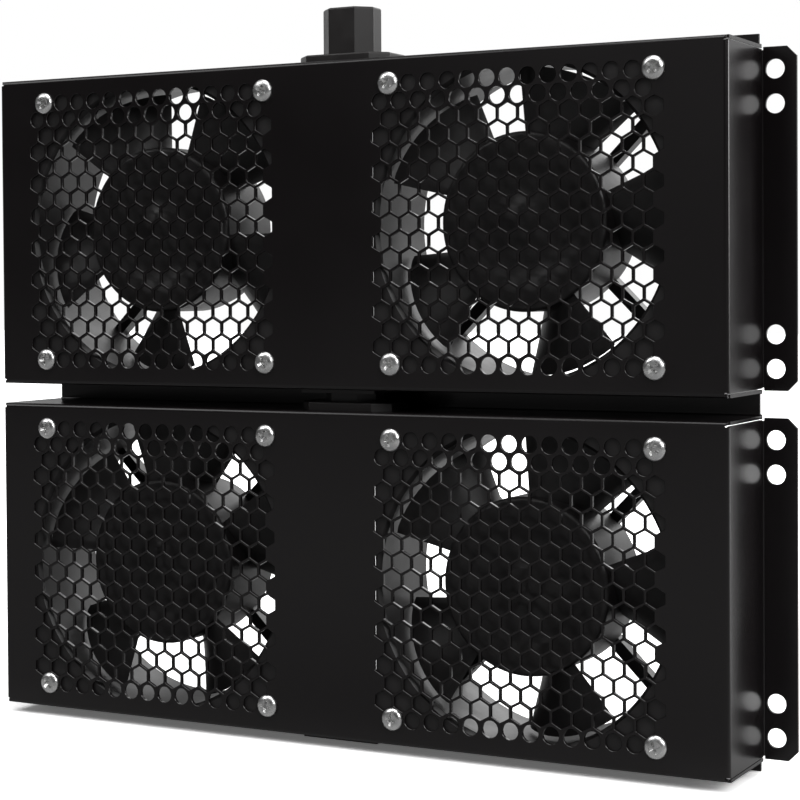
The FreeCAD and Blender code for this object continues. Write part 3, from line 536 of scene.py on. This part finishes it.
def openingWall(tree, outline, value, scale):  # the wall of one opening, bevelled at the front
    edge = node(tree, "GeometryNodeCurveToMesh", {"Curve": outline}).outputs[0]
    straight = calc(tree, "SUBTRACT", value["Thickness"], value["Edge Bevel"])
    up = triple(tree, 0.0, 0.0, 1.0)
    inputs = {"Mesh": edge, "Offset": up, "Offset Scale": straight}
    wall = node(tree, "GeometryNodeExtrudeMesh", inputs, mode="EDGES").outputs
    inputs = {"Mesh": wall["Mesh"], "Selection": wall["Top"], "Offset": up, "Offset Scale": 0.0}
    lip = node(tree, "GeometryNodeExtrudeMesh", inputs, mode="EDGES").outputs
    here = tree.nodes.new("GeometryNodeInputPosition").outputs[0]
    wider = node(tree, "ShaderNodeVectorMath", {0: here, 1: scale}, operation="MULTIPLY").outputs[0]
    rise = triple(tree, z=value["Edge Bevel"])
    raised = node(tree, "ShaderNodeVectorMath", {0: wider, 1: rise}).outputs[0]
    inputs = {"Geometry": lip["Mesh"], "Selection": lip["Top"], "Position": raised}
    return node(tree, "GeometryNodeSetPosition", inputs).outputs[0]


def buildPerforationTree():
    tree, value = newTree("perforatedPanel", perforation)
    columnPitch = calc(tree, "DIVIDE", value["Window"],
                       calc(tree, "SUBTRACT", value["Columns"], 1.0))
    halfStep = calc(tree, "MULTIPLY", columnPitch, -0.5)
    sizes = {"Size X": value["Window"], "Size Y": value["Window"],
             "Vertices X": value["Columns"], "Vertices Y": value["Rows"]}
    grid = node(tree, "GeometryNodeMeshGrid", sizes).outputs[0]
    index = tree.nodes.new("GeometryNodeInputIndex").outputs[0]
    row = calc(tree, "MODULO", index, value["Rows"])
    column = calc(tree, "FLOOR", calc(tree, "DIVIDE", calc(tree, "ADD", index, 0.5), value["Rows"]))
    shift = calc(tree, "MULTIPLY", calc(tree, "MODULO", row, 2.0), halfStep)
    inputs = {"Geometry": grid, "Offset": triple(tree, shift)}
    lattice = node(tree, "GeometryNodeSetPosition", inputs).outputs[0]
    lastRow = calc(tree, "SUBTRACT", value["Rows"], 1.5)
    lastColumn = calc(tree, "SUBTRACT", value["Columns"], 1.5)
    bottomRow = calc(tree, "LESS_THAN", row, 0.5)
    topRow = calc(tree, "GREATER_THAN", row, lastRow)
    topTwo = calc(tree, "GREATER_THAN", row, calc(tree, "SUBTRACT", lastRow, 1.0))
    edgeRow = calc(tree, "MAXIMUM", bottomRow, topRow)
    edgeColumn = calc(tree, "MAXIMUM", calc(tree, "LESS_THAN", column, 0.5),
                      calc(tree, "GREATER_THAN", column, lastColumn))
    screws = calc(tree, "MULTIPLY", edgeRow, edgeColumn)
    rounds = calc(tree, "MAXIMUM", bottomRow, topTwo)
    chosen = (calc(tree, "SUBTRACT", 1.0, rounds), calc(tree, "SUBTRACT", rounds, screws), screws)
    layers = {"rear": [], "front": [], "walls": []}
    for (outline, wide, tall), selection in zip(openingKinds(tree, value), chosen):
        bevel = value["Edge Bevel"]
        scale = triple(tree, growth(tree, wide, bevel), growth(tree, tall, bevel), 1.0)
        shapes = {"rear": outline, "front": moved(tree, outline, scale=scale),
                  "walls": openingWall(tree, outline, value, scale)}
        for layer, shape in shapes.items():
            layers[layer].append(copiesOn(tree, lattice, shape, Selection=selection))
    windows = {}
    for layer, parts in layers.items():
        real = node(tree, "GeometryNodeRealizeInstances", {0: joined(tree, *parts)}).outputs[0]
        windows[layer] = [moved(tree, real, triple(tree, value[label]))
                          for label in ("Left Window", "Right Window")]
    edge = node(tree, "GeometryNodeMeshToCurve", {"Mesh": value["Geometry"]}).outputs[0]
    faces = {}
    for layer in ("rear", "front"):
        loops = joined(tree, edge, *windows[layer])
        faces[layer] = node(tree, "GeometryNodeFillCurve", {0: loops}, mode="TRIANGLES").outputs[0]
    raised = moved(tree, faces["front"], triple(tree, z=value["Thickness"]))
    inputs = {"Mesh": value["Geometry"], "Offset": triple(tree, 0.0, 0.0, 1.0),
              "Offset Scale": value["Thickness"]}
    rim = node(tree, "GeometryNodeExtrudeMesh", inputs, mode="EDGES").outputs["Mesh"]
    inputs = {0: joined(tree, faces["rear"], raised, rim, *windows["walls"]),
              "Distance": weldDistance}
    welded = node(tree, "GeometryNodeMergeByDistance", inputs).outputs[0]
    closeTree(tree, welded, finishes["black_paint"])
    return tree


def panelMesh():  # the perforated front, flat, with its rear face in the XY plane
    wide = tray["halfWidth"] - tray["bend"]
    tall = tray["halfHeight"] - tray["bend"]
    cut = tray["notch"]
    corner = [(wide, tall - cut), (wide - cut, tall)]
    outline = corner + [(-x, y) for x, y in reversed(corner)]
    outline += [(-x, -y) for x, y in corner] + [(x, -y) for x, y in reversed(corner)]
    mesh = bpy.data.meshes.new("panelOutline")
    count = len(outline)
    edges = [(k, (k + 1) % count) for k in range(count)]
    mesh.from_pydata([(x, y, 0) for x, y in outline], edges, [])
    piece = bpy.data.objects.new("panelOutline", mesh)
    bpy.context.scene.collection.objects.link(piece)
    grow(piece, buildPerforationTree(), perforation)
    panel = piece.data
    bpy.data.objects.remove(piece)
    return panel


def addFlap(shell, toSpace, half, frontEnd, wallEnd, rearEnd,
            fold, foldHoles, wallHoles, mitre=0.0):
    # one wall with its front bend, its rear bend and the fold behind it
    # toSpace takes a place along the bend, outwards and to the front
    sheet = tray["sheet"]
    bend = tray["bend"]
    steps = tray["bendSteps"]
    depth = sheet + (frameHigh.y - frameLow.y)
    frontCentre = (half - bend, depth - bend)
    rearCentre = (half + bend - sheet, bend)
    frontBend = [arc(frontCentre, radius, 90, 0, steps) for radius in (bend, bend - sheet)]
    rearBend = [arc(rearCentre, radius, 180, 270, steps) for radius in (bend - sheet, bend)]
    for (outer, inner), end in ((frontBend, frontEnd), (rearBend, rearEnd)):
        rows = []
        spread = mitre * bend if end == frontEnd else 0.0
        for k, (first, second) in enumerate(zip(outer, inner)):
            reach = end + spread * math.sin(math.pi / 2 * k / steps)
            rows.append([toSpace(-reach, *first), toSpace(reach, *first),
                         toSpace(reach, *second), toSpace(-reach, *second)])
        shell.rows(rows)
        for tip in (rows[0], rows[-1]):
            shell.add(tip, [(0, 1, 2, 3)])
    front = depth - bend
    frontReach = frontEnd + mitre * bend
    wall = [(-wallEnd, bend), (-rearEnd, bend), (rearEnd, bend), (wallEnd, bend),
            (wallEnd, front), (frontReach, front), (-frontReach, front), (-wallEnd, front)]
    wall = [point for k, point in enumerate(wall) if point != wall[k - 1]]
    shell.slab(wall, wallHoles, lambda u, v, w: toSpace(u, w, v), half - sheet, half)
    shell.slab(fold, foldHoles, lambda u, v, w: toSpace(u, v, w), 0.0, sheet)


def insideBox(name, height):
    # the flat box of what a node has inside the tray, past the sheet at that height
    points = [v.co for v in frame["nodes"][name].data.vertices]
    clear = [p for p in points if abs(p.z - height) > tray["nearSheet"]]
    return flatBox([p for p in clear if (p.z < height) == name.endswith("coupler")])


def buildTray(level, panel):
    height = levelHeight[level]
    halfWidth = tray["halfWidth"]
    halfHeight = tray["halfHeight"]
    bend = tray["bend"]
    sheet = tray["sheet"]
    shell = Shell()
    rear = frameLow.y
    shell.take(panel, lambda p: (p.x, rear - p.z, height + p.y))

    flangeStart = halfWidth + bend - sheet
    flangeTip = trayHigh.x
    flangeTop = halfHeight - tray["flangeEnd"]
    bendTop = halfHeight - bend - tray["notch"]
    cut = tray["flangeCut"]
    flange = [(-flangeTop, flangeStart), (-bendTop, flangeStart),
              (bendTop, flangeStart), (flangeTop, flangeStart),
              (flangeTop, flangeTip - cut), (flangeTop - cut, flangeTip),
              (cut - flangeTop, flangeTip), (-flangeTop, flangeTip - cut)]
    reach = halfWidth + tray["railHoleReach"]
    holes = [ring(tray["railHole"], tray["railHoleSteps"], (sign * up, reach))
             for sign in (1, -1) for up in tray["railHoleHeights"]]
    wallEnd = halfHeight - sheet - tray["seam"]
    for sign in (1, -1):
        addFlap(shell, lambda u, out, front, sign=sign: (sign * out, -front, height + u),
                halfWidth, bendTop, wallEnd, bendTop, flange, holes, [])

    lipStart = halfHeight + bend - sheet
    lipTip = (levelHeight["upper"] - levelHeight["lower"]) / 2 - tray["lipGap"]
    lipEnd = halfWidth - tray["lipCut"]
    bendEnd = halfWidth - bend - tray["notch"]
    lip = [(-lipEnd, lipStart), (-bendEnd, lipStart), (bendEnd, lipStart), (lipEnd, lipStart),
           (lipEnd, lipTip), (-lipEnd, lipTip)]
    for sign, part in ((1, "coupler"), (-1, "inlet")):
        middle = height + sign * (halfHeight - sheet / 2)
        low, high = insideBox("%s_%s" % (level, part), middle)
        fit = tray["cutFit"]
        hole = roundedBox((low.x - fit, -high.y - fit), (high.x + fit, fit - low.y),
                          tray["cutCorner"])
        addFlap(shell, lambda u, out, front, sign=sign: (u, -front, height + sign * out),
                halfHeight, bendEnd, halfWidth, bendEnd, lip, [], [hole], tray["mitre"])
    mesh = shell.toMesh(level + "TrayShell")
    piece = addObject(level + "TrayShell", mesh, finishes["black_paint"], tray["sharpAngle"])
    evenShading(piece)
    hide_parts(level + "_tray")
    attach(piece, "root")


panel = panelMesh()
print("front panel:", len(panel.polygons), "faces")
for level in levels:
    buildTray(level, panel)

# fan screws

screw = {
    "headRadius": 0.0043,
    "headHeight": 0.0023,
    "rimBevel": 0.0002,
    "rimHeight": 0.0006,        # where the dome starts
    "domePowers": (2.5, 0.6),
    "domeSteps": 7,
    "crownRadius": 0.0026,      # of the cap that holds the cross
    "shankRadius": 0.00205,
    "length": 0.010,
    "threadDepth": 0.00028,
    "turns": 11,
    "steps": 32,
    "slotReach": 0.0023,
    "slotHalf": 0.0005,
    "slotDepth": 0.0015,
    "slotTaper": (0.55, 0.7),   # reach and width at the bottom of the cross
    "sharpAngle": 35,
}


def crossOutline(reach, half):
    quarter = [(half, half), (half, reach), (-half, reach)]
    outline = []
    for k in range(4):
        turn = Matrix.Rotation(math.pi / 2 * k, 2)
        outline += [tuple(turn @ Vector(point)) for point in quarter]
    return outline


def domeHeight(radius):
    inner, outer = screw["domePowers"]
    rise = (1 - min(1.0, radius / screw["headRadius"]) ** inner) ** outer
    return screw["rimHeight"] + (screw["headHeight"] - screw["rimHeight"]) * rise


def onDome(u, v):
    return (u, -domeHeight(math.hypot(u, v)), v)


def screwMesh():  # the head faces -Y and seats on the XZ plane
    shell = Shell()
    steps = screw["steps"]
    length = screw["length"]
    crest = screw["shankRadius"]
    root = crest - screw["threadDepth"]
    pitch = length / (screw["turns"] + 1)
    profile = [(root, -length)]
    for k in range(screw["turns"]):
        profile += [(crest, -length + pitch * (k + 0.5)), (root, -length + pitch * (k + 1))]
    neck = pitch / 3  # plain shank under the head
    bevel = screw["rimBevel"]
    profile += [(crest, -neck), (crest, 0.0)]
    profile += [(screw["headRadius"] - bevel, 0.0), (screw["headRadius"], bevel)]
    sweep = screw["headRadius"] - screw["crownRadius"]
    for across, _ in arc((0, 0), 1.0, 0, 90, screw["domeSteps"]):
        radius = screw["crownRadius"] + sweep * across
        profile.append((radius, domeHeight(radius)))
    shell.rows([[(x, -out, z) for x, z in ring(radius, steps)] for radius, out in profile])
    shell.cap(ring(root, steps), (), lambda u, v: (u, length, v))
    mouth = crossOutline(screw["slotReach"], screw["slotHalf"])
    reachShare, halfShare = screw["slotTaper"]
    floor = crossOutline(screw["slotReach"] * reachShare, screw["slotHalf"] * halfShare)
    shell.cap(ring(profile[-1][0], steps), [mouth], onDome)
    deep = screw["headHeight"] - screw["slotDepth"]
    shell.band([onDome(u, v) for u, v in mouth], [(u, -deep, v) for u, v in floor])
    shell.cap(floor, (), lambda u, v: (u, -deep, v))
    return shell.toMesh("fanScrews")


def fourCorners(tree, width, height):
    inputs = {"Size X": width, "Size Y": height, "Vertices X": 2, "Vertices Y": 2}
    return node(tree, "GeometryNodeMeshGrid", inputs).outputs[0]


def buildScrewTree(values):
    tree, value = newTree("screwRows", values)
    square = fourCorners(tree, value["Spacing"], value["Spacing"])
    fans = fourCorners(tree, value["Fan Pitch"], value["Module Pitch"])
    spread = copiesOn(tree, fans, square)
    points = node(tree, "GeometryNodeRealizeInstances", {0: spread}).outputs[0]
    shift = triple(tree, value["Middle"], value["Front"], 0.0)
    upright = moved(tree, points, shift, (math.pi / 2, 0, 0))
    limits = {"Seed": value["Seed"], 2: 0.0, 3: math.pi}
    turn = node(tree, "FunctionNodeRandomValue", limits, data_type="FLOAT").outputs[1]
    turned = copiesOn(tree, upright, value["Geometry"], Rotation=triple(tree, 0.0, turn, 0.0))
    closeTree(tree, turned, finishes["zinc"])
    return tree


screwPlaces = {
    "Spacing": screwSpacing,
    "Fan Pitch": fanAcross["right"] - fanAcross["left"],
    "Module Pitch": levelHeight["upper"] - levelHeight["lower"],
    "Middle": (fanAcross["right"] + fanAcross["left"]) / 2,
    "Front": frameLow.y - tray["sheet"],
    "Seed": 7,
}
screws = addObject("fanScrews", screwMesh(), finishes["zinc"], screw["sharpAngle"])
grow(screws, buildScrewTree(screwPlaces), screwPlaces)
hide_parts(*["%s_%s_screws" % (level, side) for level in levels for side in sides])
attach(screws, "root")
print("screws:", len(screws.data.polygons), "faces")

# impellers

impeller = {
    "turns": {"upper_left": 22.6, "upper_right": 0.3,
              "lower_left": 58.9, "lower_right": 1.7},  # degrees at rest
    "blades": 5,
    "hubRadius": 0.033,
    "hubWall": 0.002,
    "hubEdge": 0.002,
    "hubEdgeSteps": 6,
    "hubSteps": 96,
    "boreFit": 0.00005,
    "dish": (0.0215, 0.007),    # outer and inner radius of the shallow ring in the hub's front
    "dishSlope": 0.0005,
    "dishDepth": 0.0004,
    "centreRadius": 0.0008,
    "tipRadius": 0.0565,
    "rootChord": 0.0185,
    "tipChord": 0.0485,
    "rootSink": 0.6,            # share of the hub's wall that a blade goes into
    "sweep": 0.0024,
    "rootPlane": 0.029,
    "tipPlane": 0.058,
    "rootCurve": 0.030,
    "tipCurve": 0.080,
    "front": -0.0328,
    "rear": -0.0126,
    "thickness": 0.0018,
    "edgeRounding": 1.2,        # counted in steps across the blade
    "across": 16,
    "along": 10,
    "planeRounds": 12,
    "sharpAngle": 40,
}


def buildRingTree(values, material):  # copies round the fan axis
    tree, value = newTree("ringOfCopies", values)
    points = node(tree, "GeometryNodePoints", {"Count": value["Count"]}).outputs[0]
    index = tree.nodes.new("GeometryNodeInputIndex").outputs[0]
    step = calc(tree, "DIVIDE", 2 * math.pi, value["Count"])
    turn = calc(tree, "ADD", calc(tree, "MULTIPLY", index, step), value["Start"])
    turned = copiesOn(tree, points, value["Geometry"], Rotation=triple(tree, 0.0, turn, 0.0))
    closeTree(tree, turned, material)
    return tree


def ringOfCopies(mesh, material, count, start):
    piece = addObject("ringSource", mesh, material)
    values = {"Count": count, "Start": start}
    grow(piece, buildRingTree(values, material), values)
    copies = piece.data
    bpy.data.objects.remove(piece)
    return copies


def bladeLine(share, steps):  # camber line of one section, as (y, sideways)
    chord = impeller["rootChord"] + (impeller["tipChord"] - impeller["rootChord"]) * share
    middle = -impeller["sweep"] * share
    radius = impeller["rootCurve"] + (impeller["tipCurve"] - impeller["rootCurve"]) * share
    first = Vector((impeller["front"], middle + chord / 2))
    last = Vector((impeller["rear"] - impeller["thickness"], middle - chord / 2))
    line = last - first
    normal = Vector((line.y, -line.x)).normalized()
    sag = math.sqrt(radius ** 2 - (line.length / 2) ** 2)
    centre = (first + last) / 2 - normal * sag
    spread = math.asin(line.length / 2 / radius)
    points = []
    for k in range(steps + 1):
        turn = spread * (1 - 2 * k / steps)
        arm = normal * math.cos(turn) - line.normalized() * math.sin(turn)
        points.append(centre + arm * radius)
    return points


def depthAt(radius, sideways):
    return math.sqrt(max(radius ** 2 - sideways ** 2, 0.0))


def sectionAt(radius, steps):  # each point of the camber line taken from the plane that it lies in
    first = impeller["rootPlane"]
    depth = impeller["tipPlane"] - first
    points = []
    for k in range(steps + 1):
        share = (radius - first) / depth
        for _ in range(impeller["planeRounds"]):
            sideways = bladeLine(share, steps)[k].y
            share = (depthAt(radius, sideways) - first) / depth
        points.append(bladeLine(share, steps)[k])
    return points


def bladeMesh():
    shell = Shell()
    rows = []
    steps = impeller["across"]
    thick = impeller["thickness"]
    inside = impeller["hubRadius"] - impeller["hubWall"] * impeller["rootSink"]
    for k in range(impeller["along"] + 1):
        radius = inside + (impeller["tipRadius"] - inside) * k / impeller["along"]
        line = sectionAt(radius, steps)
        loop = []
        for back in (False, True):
            for n, point in enumerate(reversed(line) if back else line):
                along = 1 - n / steps if back else n / steps
                rim = min(along, 1 - along) * steps
                bow = max(0.0, 1 - rim / impeller["edgeRounding"])
                lean = 0.5 - 0.5 * math.sqrt(max(0.0, 1 - bow ** 2))
                lift = thick - lean * thick if back else lean * thick
                loop.append((depthAt(radius, point.y), point.x + lift, point.y))
        rows.append(loop)
    shell.rows(rows)
    count = steps + 1
    for row in (rows[0], rows[-1]):
        quads = [(k, k + 1, 2 * count - 2 - k, 2 * count - 1 - k) for k in range(steps)]
        shell.add(row, quads)
    return shell.toMesh("blade")


def hubShell():
    shell = Shell()
    radius = impeller["hubRadius"]
    edge = impeller["hubEdge"]
    wall = impeller["hubWall"]
    steps = impeller["hubSteps"]
    front, rear = (corner.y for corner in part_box("upper_left_impeller"))
    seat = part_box("upper_left_shaft")
    bore = (seat[1].x - seat[0].x) / 2 + impeller["boreFit"]
    wide, narrow = impeller["dish"]
    slope = impeller["dishSlope"]
    bottom = front + impeller["dishDepth"]
    outer = [(radius, rear)]
    for x, z in arc((0, 0), edge, 0, 90, impeller["hubEdgeSteps"]):
        outer.append((radius - edge + x, front + edge - z))
    outer += [(wide, front), (wide - slope, bottom), (narrow + slope, bottom), (narrow, front),
              (impeller["centreRadius"], front)]
    inner = [(bore, front + wall / 2), (bore, front + wall),
             (radius - wall, front + wall), (radius - wall, rear)]
    for profile, end in ((outer, outer[-1]), (inner, inner[0])):
        shell.rows([[(x, y, z) for x, z in ring(across, steps)] for across, y in profile])
        shell.cap(ring(end[0], steps), (), lambda u, v: (u, end[1], v))
    rim = (radius, radius - wall)
    shell.rows([[(x, rear, z) for x, z in ring(across, steps)] for across in rim])
    return shell


blade = bladeMesh()
for level in levels:
    for side in sides:
        name = "%s_%s" % (level, side)
        shell = hubShell()
        start = math.radians(impeller["turns"][name])
        shell.take(ringOfCopies(blade.copy(), finishes["fan_plastic"], impeller["blades"], start))
        centre = Vector((fanAcross[side], 0, levelHeight[level]))
        shell.points = [point + centre for point in shell.points]
        piece = addObject(level + side.capitalize() + "Impeller", shell.toMesh(name),
                          finishes["fan_plastic"], impeller["sharpAngle"])
        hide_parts(name + "_impeller")
        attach(piece, name + "_impeller")
print("impellers done")

# couplers

coupler = {
    "baseCut": 0.006,           # front corners of the base and the nose
    "noseCut": 0.0055,
    "corner": 0.0007,
    "cornerShrink": 0.3,        # how much the corners tighten towards a rounded top edge
    "leastCorner": 0.0002,
    "baseEdge": 0.00072,
    "baseEdgeSteps": 3,
    "noseEdge": 0.0009,
    "noseEdgeSteps": 4,
    "mostBase": 0.006,          # the base stays under this height
    "noseStart": 0.002,         # above the base there is only the nose
    "spigotStart": 0.001,       # below the sheet's top there is only the spigot
    "spigotCorner": 0.001,
    "slotWide": 0.0033,
    "slotDeep": 0.0053,
    "slotLength": 0.013,
    "slotCorner": 0.0004,
    "slotCornerSteps": 2,
    "contactSplit": 0.004,      # between the middle contact and its neighbours
    "sharpAngle": 32,
}


def couplerOutline(low, high, cut, inset=0.0):
    left, right, front, rear = low.x + inset, high.x - inset, low.y + inset, high.y - inset
    lean = cut - inset * (2 - math.sqrt(2))
    radius = max(coupler["corner"] - inset * coupler["cornerShrink"], coupler["leastCorner"])
    return roundedPath([(right, rear), (left, rear), (left, front + lean), (left + lean, front),
                        (right - lean, front), (right, front + lean)], radius)


def wallWithEdge(low, high, cut, bottom, top, edge, steps):  # upright, with its top edge rounded
    foot = couplerOutline(low, high, cut)
    rows = [(foot, bottom), (foot, top - edge)]
    for x, z in arc((0, 0), edge, 0, 90, steps)[1:]:
        rows.append((couplerOutline(low, high, cut, edge - x), top - edge + z))
    return [[(u, v, z) for u, v in outline] for outline, z in rows]


def contactPlaces(level):  # the middles of the three contacts
    points = [v.co for v in frame["nodes"][level + "_coupler_contacts"].data.vertices]
    split = coupler["contactSplit"]
    groups = ([p for p in points if p.x < -split], [p for p in points if abs(p.x) < split],
              [p for p in points if p.x > split])
    boxes = [flatBox(group) for group in groups]
    return [((low.x + high.x) / 2, (low.y + high.y) / 2) for low, high in boxes]


def buildCoupler(level):
    name = level + "_coupler"
    points = [v.co for v in frame["nodes"][name].data.vertices]
    low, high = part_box(name)
    wall = levelHeight[level] + tray["halfHeight"]
    top = high.z
    baseTop = max(z for z in {round(p.z, 5) for p in points} if z < wall + coupler["mostBase"])
    noseLow, noseHigh = flatBox([p for p in points if p.z > baseTop + coupler["noseStart"]])
    shell = Shell()
    base = wallWithEdge(low, high, coupler["baseCut"], wall, baseTop,
                        coupler["baseEdge"], coupler["baseEdgeSteps"])
    nose = wallWithEdge(noseLow, noseHigh, coupler["noseCut"], baseTop, top,
                        coupler["noseEdge"], coupler["noseEdgeSteps"])
    shell.rows(base)
    shell.cap(base[-1], [nose[0]], lambda u, v: (u, v, baseTop))
    shell.rows(nose)
    wide = coupler["slotWide"] / 2
    deep = coupler["slotDeep"] / 2
    slots = [roundedBox((x - wide, y - deep), (x + wide, y + deep), coupler["slotCorner"],
                        coupler["slotCornerSteps"]) for x, y in contactPlaces(level)]
    shell.cap(nose[-1], slots, lambda u, v: (u, v, top))
    floor = top - coupler["slotLength"]
    for slot in slots:
        shell.band([(u, v, top) for u, v in slot], [(u, v, floor) for u, v in slot])
        shell.cap(slot, (), lambda u, v: (u, v, floor))
    spigot = flatBox([p for p in points if p.z < wall - coupler["spigotStart"]])
    foot = roundedBox(*spigot, coupler["spigotCorner"])
    shell.cap(base[0], [foot], lambda u, v: (u, v, wall))
    shell.band([(u, v, wall) for u, v in foot], [(u, v, low.z) for u, v in foot])
    shell.cap(foot, (), lambda u, v: (u, v, low.z))
    mesh = shell.toMesh(level + "Coupler")
    piece = addObject(level + "Coupler", mesh, finishes["coupler_moulding"], coupler["sharpAngle"])
    evenShading(piece)
    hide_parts(name)
    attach(piece, "root")


for level in levels:
    buildCoupler(level)
print("couplers done")

# camera, light and floor

view = {
    "place": (0.3838, -0.70834, 0.04384),
    "turn": 27.887,
    "tilt": -1.246,
    "roll": 0.375,
    "lens": 91.294,
    "sensor": 36,
    "shiftY": -0.0885,
    "clip": 0.01,
}
camera = bpy.data.objects.new("camera", bpy.data.cameras.new("camera"))
camera.data.lens = view["lens"]
camera.data.sensor_width = view["sensor"]
camera.data.shift_y = view["shiftY"]
camera.data.clip_start = view["clip"]
camera.matrix_world = (Matrix.Translation(view["place"])
                       @ Matrix.Rotation(math.radians(view["turn"]), 4, "Z")
                       @ Matrix.Rotation(math.radians(90 + view["tilt"]), 4, "X")
                       @ Matrix.Rotation(math.radians(-view["roll"]), 4, "Z"))
bpy.context.scene.collection.objects.link(camera)
bpy.context.scene.camera = camera
bpy.context.scene.view_settings.view_transform = "Standard"

lamps = [
    # name, place, aim, size, power
    ("overhead", (0.1, -0.5, 1.6), (0.0, -0.02, 0.0), 1.4, 13.0),
    ("rightRear", (1.55, 1.0, 0.5), (0.1, 0.0, 0.0), 0.9, 16.0),
    ("frontLeft", (-1.2, -1.0, 1.3), (0.0, 0.0, 0.0), 1.1, 7.0),
    ("frontRight", (1.5, -1.1, 1.0), (0.0, 0.0, 0.0), 1.0, 15.0),
]
for name, place, aim, size, power in lamps:
    lamp = bpy.data.lights.new(name, "AREA")
    lamp.shape = "DISK"
    lamp.size = size
    lamp.energy = power
    holder = bpy.data.objects.new(name, lamp)
    direction = Vector(aim) - Vector(place)
    facing = direction.to_track_quat("-Z", "Y").to_matrix().to_4x4()
    holder.matrix_world = Matrix.Translation(place) @ facing
    bpy.context.scene.collection.objects.link(holder)

studio = {
    "backdrop": 1.0,            # all that the camera itself sees of the room
    "ambient": 0.035,
    "glows": [
        # direction, where it starts and ends, strength
        ((0.46, 0.86, 0.05), 0.6, 0.97, 0.5),
        ((-0.1, 0.3, 1.0), 0.2, 0.95, 0.3),
        ((0.0, 0.86, 0.5), 0.88, 0.99, 2.6),
        ((-0.88, 0.46, 0.0), 0.85, 0.98, 0.75),
        ((-0.31, -0.93, 0.17), 0.982, 1.0, 0.32),
    ],
}


def buildStudio(sizes):
    world = bpy.data.worlds.new("studio")
    world.use_nodes = True
    tree = world.node_tree
    tree.nodes.clear()
    direction = tree.nodes.new("ShaderNodeTexCoord").outputs["Generated"]
    glow = sizes["ambient"]
    for towards, start, end, strength in sizes["glows"]:
        inputs = {0: direction, 1: Vector(towards).normalized()}
        lean = node(tree, "ShaderNodeVectorMath", inputs, operation="DOT_PRODUCT").outputs["Value"]
        glow = calc(tree, "ADD", span(tree, lean, 0.0, strength, start, end), glow)
    white = (1, 1, 1, 1)
    soft = node(tree, "ShaderNodeBackground", {"Strength": glow, "Color": white}).outputs[0]
    inputs = {"Strength": sizes["backdrop"], "Color": white}
    plain = node(tree, "ShaderNodeBackground", inputs).outputs[0]
    seen = tree.nodes.new("ShaderNodeLightPath").outputs["Is Camera Ray"]
    mix = node(tree, "ShaderNodeMixShader", {0: seen, 1: soft, 2: plain}).outputs[0]
    tree.links.new(mix, tree.nodes.new("ShaderNodeOutputWorld").inputs[0])
    bpy.context.scene.world = world


paleFloor = {
    "halfSize": 6.0,
    "seen": 1.9,                # as bright as the camera sees it
    "front": 0.24,              # what it throws back on the object, before it and behind it: painted light, darker in front and brighter behind, for light falling from behind
    "rear": 0.95,
    "change": (-0.1, 0.15),     # along Y
    "lift": 0.12,               # glow that the camera sees, under the object and away from it
    "farLift": 1.1,
    "fade": (0.3, 0.6),
}


def buildFloor(sizes):
    material = bpy.data.materials.new("paleFloor")
    material.use_nodes = True
    tree = material.node_tree
    tree.nodes.clear()
    seen = tree.nodes.new("ShaderNodeLightPath").outputs["Is Camera Ray"]
    place = tree.nodes.new("ShaderNodeTexCoord").outputs["Object"]
    depth = node(tree, "ShaderNodeSeparateXYZ", {0: place}).outputs["Y"]
    # painted light: what the floor throws back is darker in front of the object and brighter behind it, standing
    # in for light from behind
    paintedBounce = span(tree, depth, sizes["front"], sizes["rear"], *sizes["change"])
    grey = span(tree, seen, paintedBounce, sizes["seen"], 0.0, 1.0)
    matt = node(tree, "ShaderNodeBsdfDiffuse", {"Color": triple(tree, grey, grey, grey)}).outputs[0]
    reach = node(tree, "ShaderNodeVectorMath", {0: place}, operation="LENGTH").outputs["Value"]
    glow = span(tree, reach, sizes["lift"], sizes["farLift"], *sizes["fade"])
    inputs = {"Strength": calc(tree, "MULTIPLY", seen, glow)}
    lift = node(tree, "ShaderNodeEmission", inputs).outputs[0]
    mix = node(tree, "ShaderNodeAddShader", {0: matt, 1: lift}).outputs[0]
    tree.links.new(mix, tree.nodes.new("ShaderNodeOutputMaterial").inputs[0])
    shell = Shell()
    size = sizes["halfSize"]
    corners = ((-1, -1), (1, -1), (1, 1), (-1, 1))
    shell.add([(x * size, y * size, cadBounds[0][2]) for x, y in corners], [(0, 1, 2, 3)])
    return addObject("floor", shell.toMesh("floor"), material)


buildStudio(studio)
floor = buildFloor(paleFloor)
print("camera, light and floor done")
